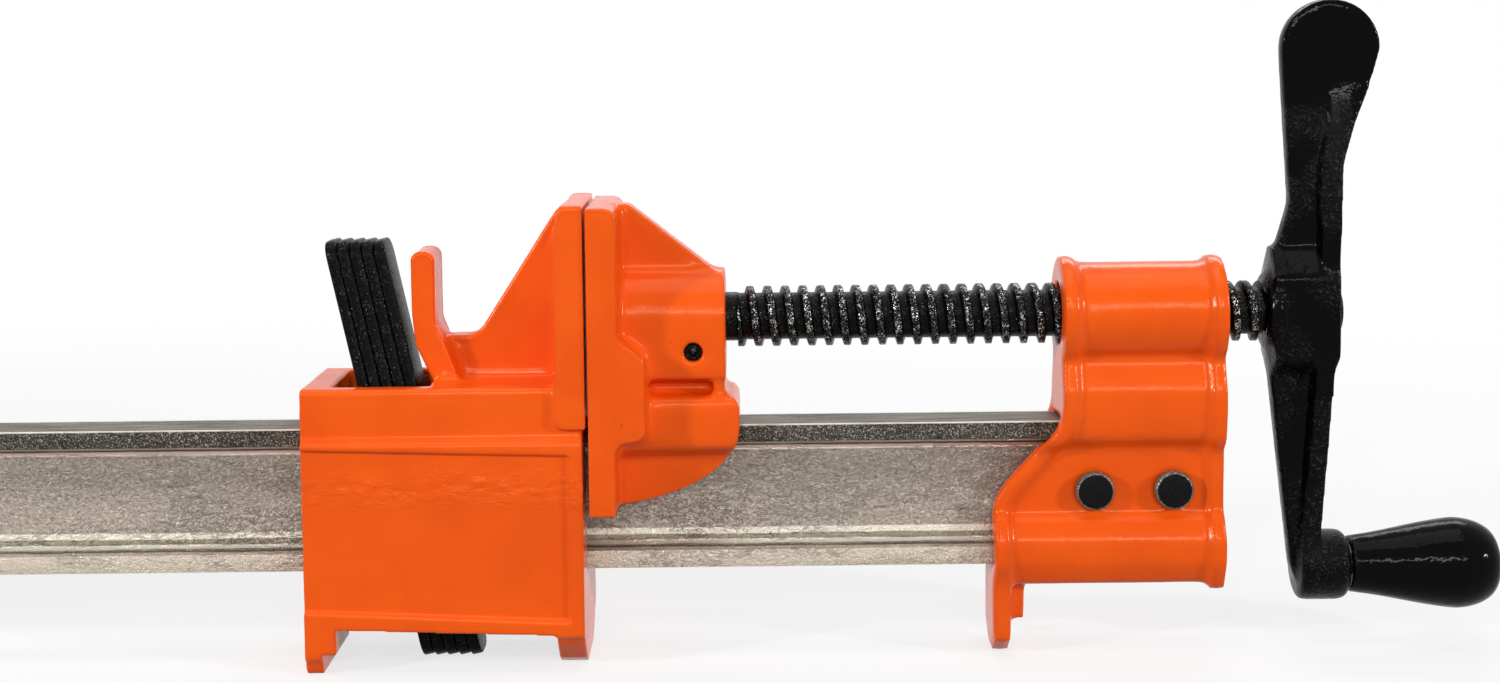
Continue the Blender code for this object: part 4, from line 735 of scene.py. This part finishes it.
def make_pieces():
    orange = orange_enamel()
    black = black_enamel()
    blackened = blackened_steel()
    plate = plated_steel()

    softened(
        "sliding_jaw", orange, "sliding_jaw", edge=3, hollow=240, wear=0.12 * MM,
        lumps=jaw_lumps, share=over_the_housing, bend=panel_bend,
    )
    softened(
        "tailstock", orange, "frame", edge=6, hollow=80, wear=0.45 * MM,
        share=clear_of_the_screw,
    )
    softened(
        "pressure_jaw", orange, "pressure_jaw", edge=8, hollow=90, wear=0.2 * MM,
        share=clear_of_screw_and_bar, free=clear_of_screw_and_bar,
    )
    softened(
        "crank", black, "spindle", edge=7, hollow=50, wear=0.3 * MM,
        bend=crank_bend,
    )
    bevelled("i_bar", 0.55 * MM, 3, rolled_bar(), "frame")
    make_screw(blackened_steel("screw_steel", 0.45, 0.07, worn_crests))
    make_grip(black)
    make_spring(plate)
    for number in range(1, 6):
        disc = f"clutch_disc_{number}"
        bevelled(disc, 0.45 * MM, 2, blackened, f"disc_{number}")
    for number in (1, 2):
        rivet = f"tail_rivet_{number}"
        low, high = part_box(rivet)
        rim = worn_rim((low.x + high.x) / 2)
        finish = blackened_steel(f"rivet_steel_{number}", 0.1, 0.1, rim)
        bevelled(rivet, 0.4 * MM, 3, finish, "frame")
    bevelled("nose_pin", 0.3 * MM, 2, blackened, "pressure_jaw")
    bevelled("bar_stop_pin", 0.4 * MM, 2, plate, "frame")
    bevelled("grip_pin", 0.4 * MM, 2, plate, "spindle")


# Floor, surround, lamps and camera


def seen(tree):
    """1 for rays from the camera and those that a gloss or glass sends on, 0 for lighting."""
    rays = tree.nodes.new("ShaderNodeLightPath")
    straight = Value(tree, rays.outputs["Is Camera Ray"])
    glossy = Value(tree, rays.outputs["Is Glossy Ray"])
    through = Value(tree, rays.outputs["Is Transmission Ray"])
    return straight.math("MAXIMUM", straight, glossy.math("MAXIMUM", glossy, through))


def blended(tree, blend, first, second, output):
    """Puts two shaders through a mix shader to a tree's output."""
    tree.links.new(first, blend.inputs[1])
    tree.links.new(second, blend.inputs[2])
    tree.links.new(blend.outputs["Shader"], tree.nodes[output].inputs["Surface"])


def make_floor():
    """A pale floor that keeps the clamp's shadow and fades to white away from it."""
    bm = bmesh.new()
    bmesh.ops.create_grid(bm, x_segments=2, y_segments=2, size=8)
    mesh = bpy.data.meshes.new("floor")
    bm.to_mesh(mesh)
    bm.free()
    floor = bpy.data.objects.new("floor", mesh)
    bpy.context.scene.collection.objects.link(floor)
    pale = Finish("pale_floor", (0.9, 0.9, 0.9), 0.0, 0.9, Specular_IOR_Level=0.0)
    tree = pale.tree
    pale.set("Base Color", pale.mix(seen(tree), (0.32, 0.32, 0.32), (0.9, 0.9, 0.9)))
    around_the_clamp = pale.at((0.75, 1.3, 1), (0.24, 0, 0))
    away = pale.node("VectorMath", {"operation": "LENGTH"}, i0=around_the_clamp)
    distance = Value(tree, away.outputs["Value"])
    white = pale.node("Emission", Color=(1, 1, 1, 1), Strength=1.0)
    share = seen(tree) * (0.72 + 0.28 * distance.between(0.36, 0.95))
    blend = pale.node("MixShader", Fac=share)
    shaded = pale.surface.outputs["BSDF"]
    blended(tree, blend, shaded, white.outputs["Emission"], "Material Output")
    mesh.materials.append(pale.material)


def make_surround():
    """A world that looks white and lights the clamp only a little."""
    world = bpy.data.worlds.new("studio")
    bpy.context.scene.world = world
    world.use_nodes = True
    tree = world.node_tree
    soft = tree.nodes["Background"]
    soft.inputs["Color"].default_value = (1, 1, 1, 1)
    soft.inputs["Strength"].default_value = 0.09
    white = tree.nodes.new("ShaderNodeBackground")
    white.inputs["Color"].default_value = (1, 1, 1, 1)
    blend = tree.nodes.new("ShaderNodeMixShader")
    feed(tree, blend.inputs["Fac"], seen(tree))
    shades = soft.outputs["Background"], white.outputs["Background"]
    blended(tree, blend, *shades, "World Output")


def lamp(name, place, target, size, watts):
    light = bpy.data.lights.new(name, "AREA")
    light.shape = "RECTANGLE"
    light.size, light.size_y = size
    light.energy = watts
    shown = bpy.data.objects.new(name, light)
    shown.location = place
    direction = Vector(target) - Vector(place)
    shown.rotation_euler = direction.to_track_quat("-Z", "Y").to_euler()
    bpy.context.scene.collection.objects.link(shown)


def camera():
    """The photograph's camera: a little above the clamp, looking down at it."""
    pitch, roll = math.radians(90 - 4.575), math.radians(-0.64)
    lens = bpy.data.cameras.new("camera")
    lens.sensor_width = 36
    lens.lens = 51.76
    lens.shift_y = -0.105
    lens.clip_start = 0.01
    view = bpy.data.objects.new("camera", lens)
    turn = Matrix.Rotation(pitch, 4, "X") @ Matrix.Rotation(roll, 4, "Z")
    view.matrix_world = Matrix.Translation((-0.0709, -0.61665, 0.18541)) @ turn
    bpy.context.scene.collection.objects.link(view)
    bpy.context.scene.camera = view


make_pieces()
make_floor()
make_surround()
lamp("overhead", (-0.15, -0.1, 1.3), (-0.15, 0, 0), (1.2, 0.9), 6.3)
lamp("front_strip", (0.15, -1.45, 0.62), (-0.05, 0, 0.08), (0.9, 0.1), 6.5)
lamp("front_spot", (-0.3, -1.2, 0.75), (-0.05, 0, 0.08), (0.07, 0.07), 2.2)
lamp("left", (-1.25, -0.65, 0.5), (-0.1, 0, 0.08), (0.12, 0.12), 10)
lamp("right", (1.2, -0.65, 0.5), (-0.05, 0, 0.08), (0.12, 0.12), 9.5)
lamp("back", (0.2, 0.9, 0.9), (0, 0, 0.1), (1.0, 0.3), 5)
camera()
bpy.context.scene.view_settings.view_transform = "Standard"
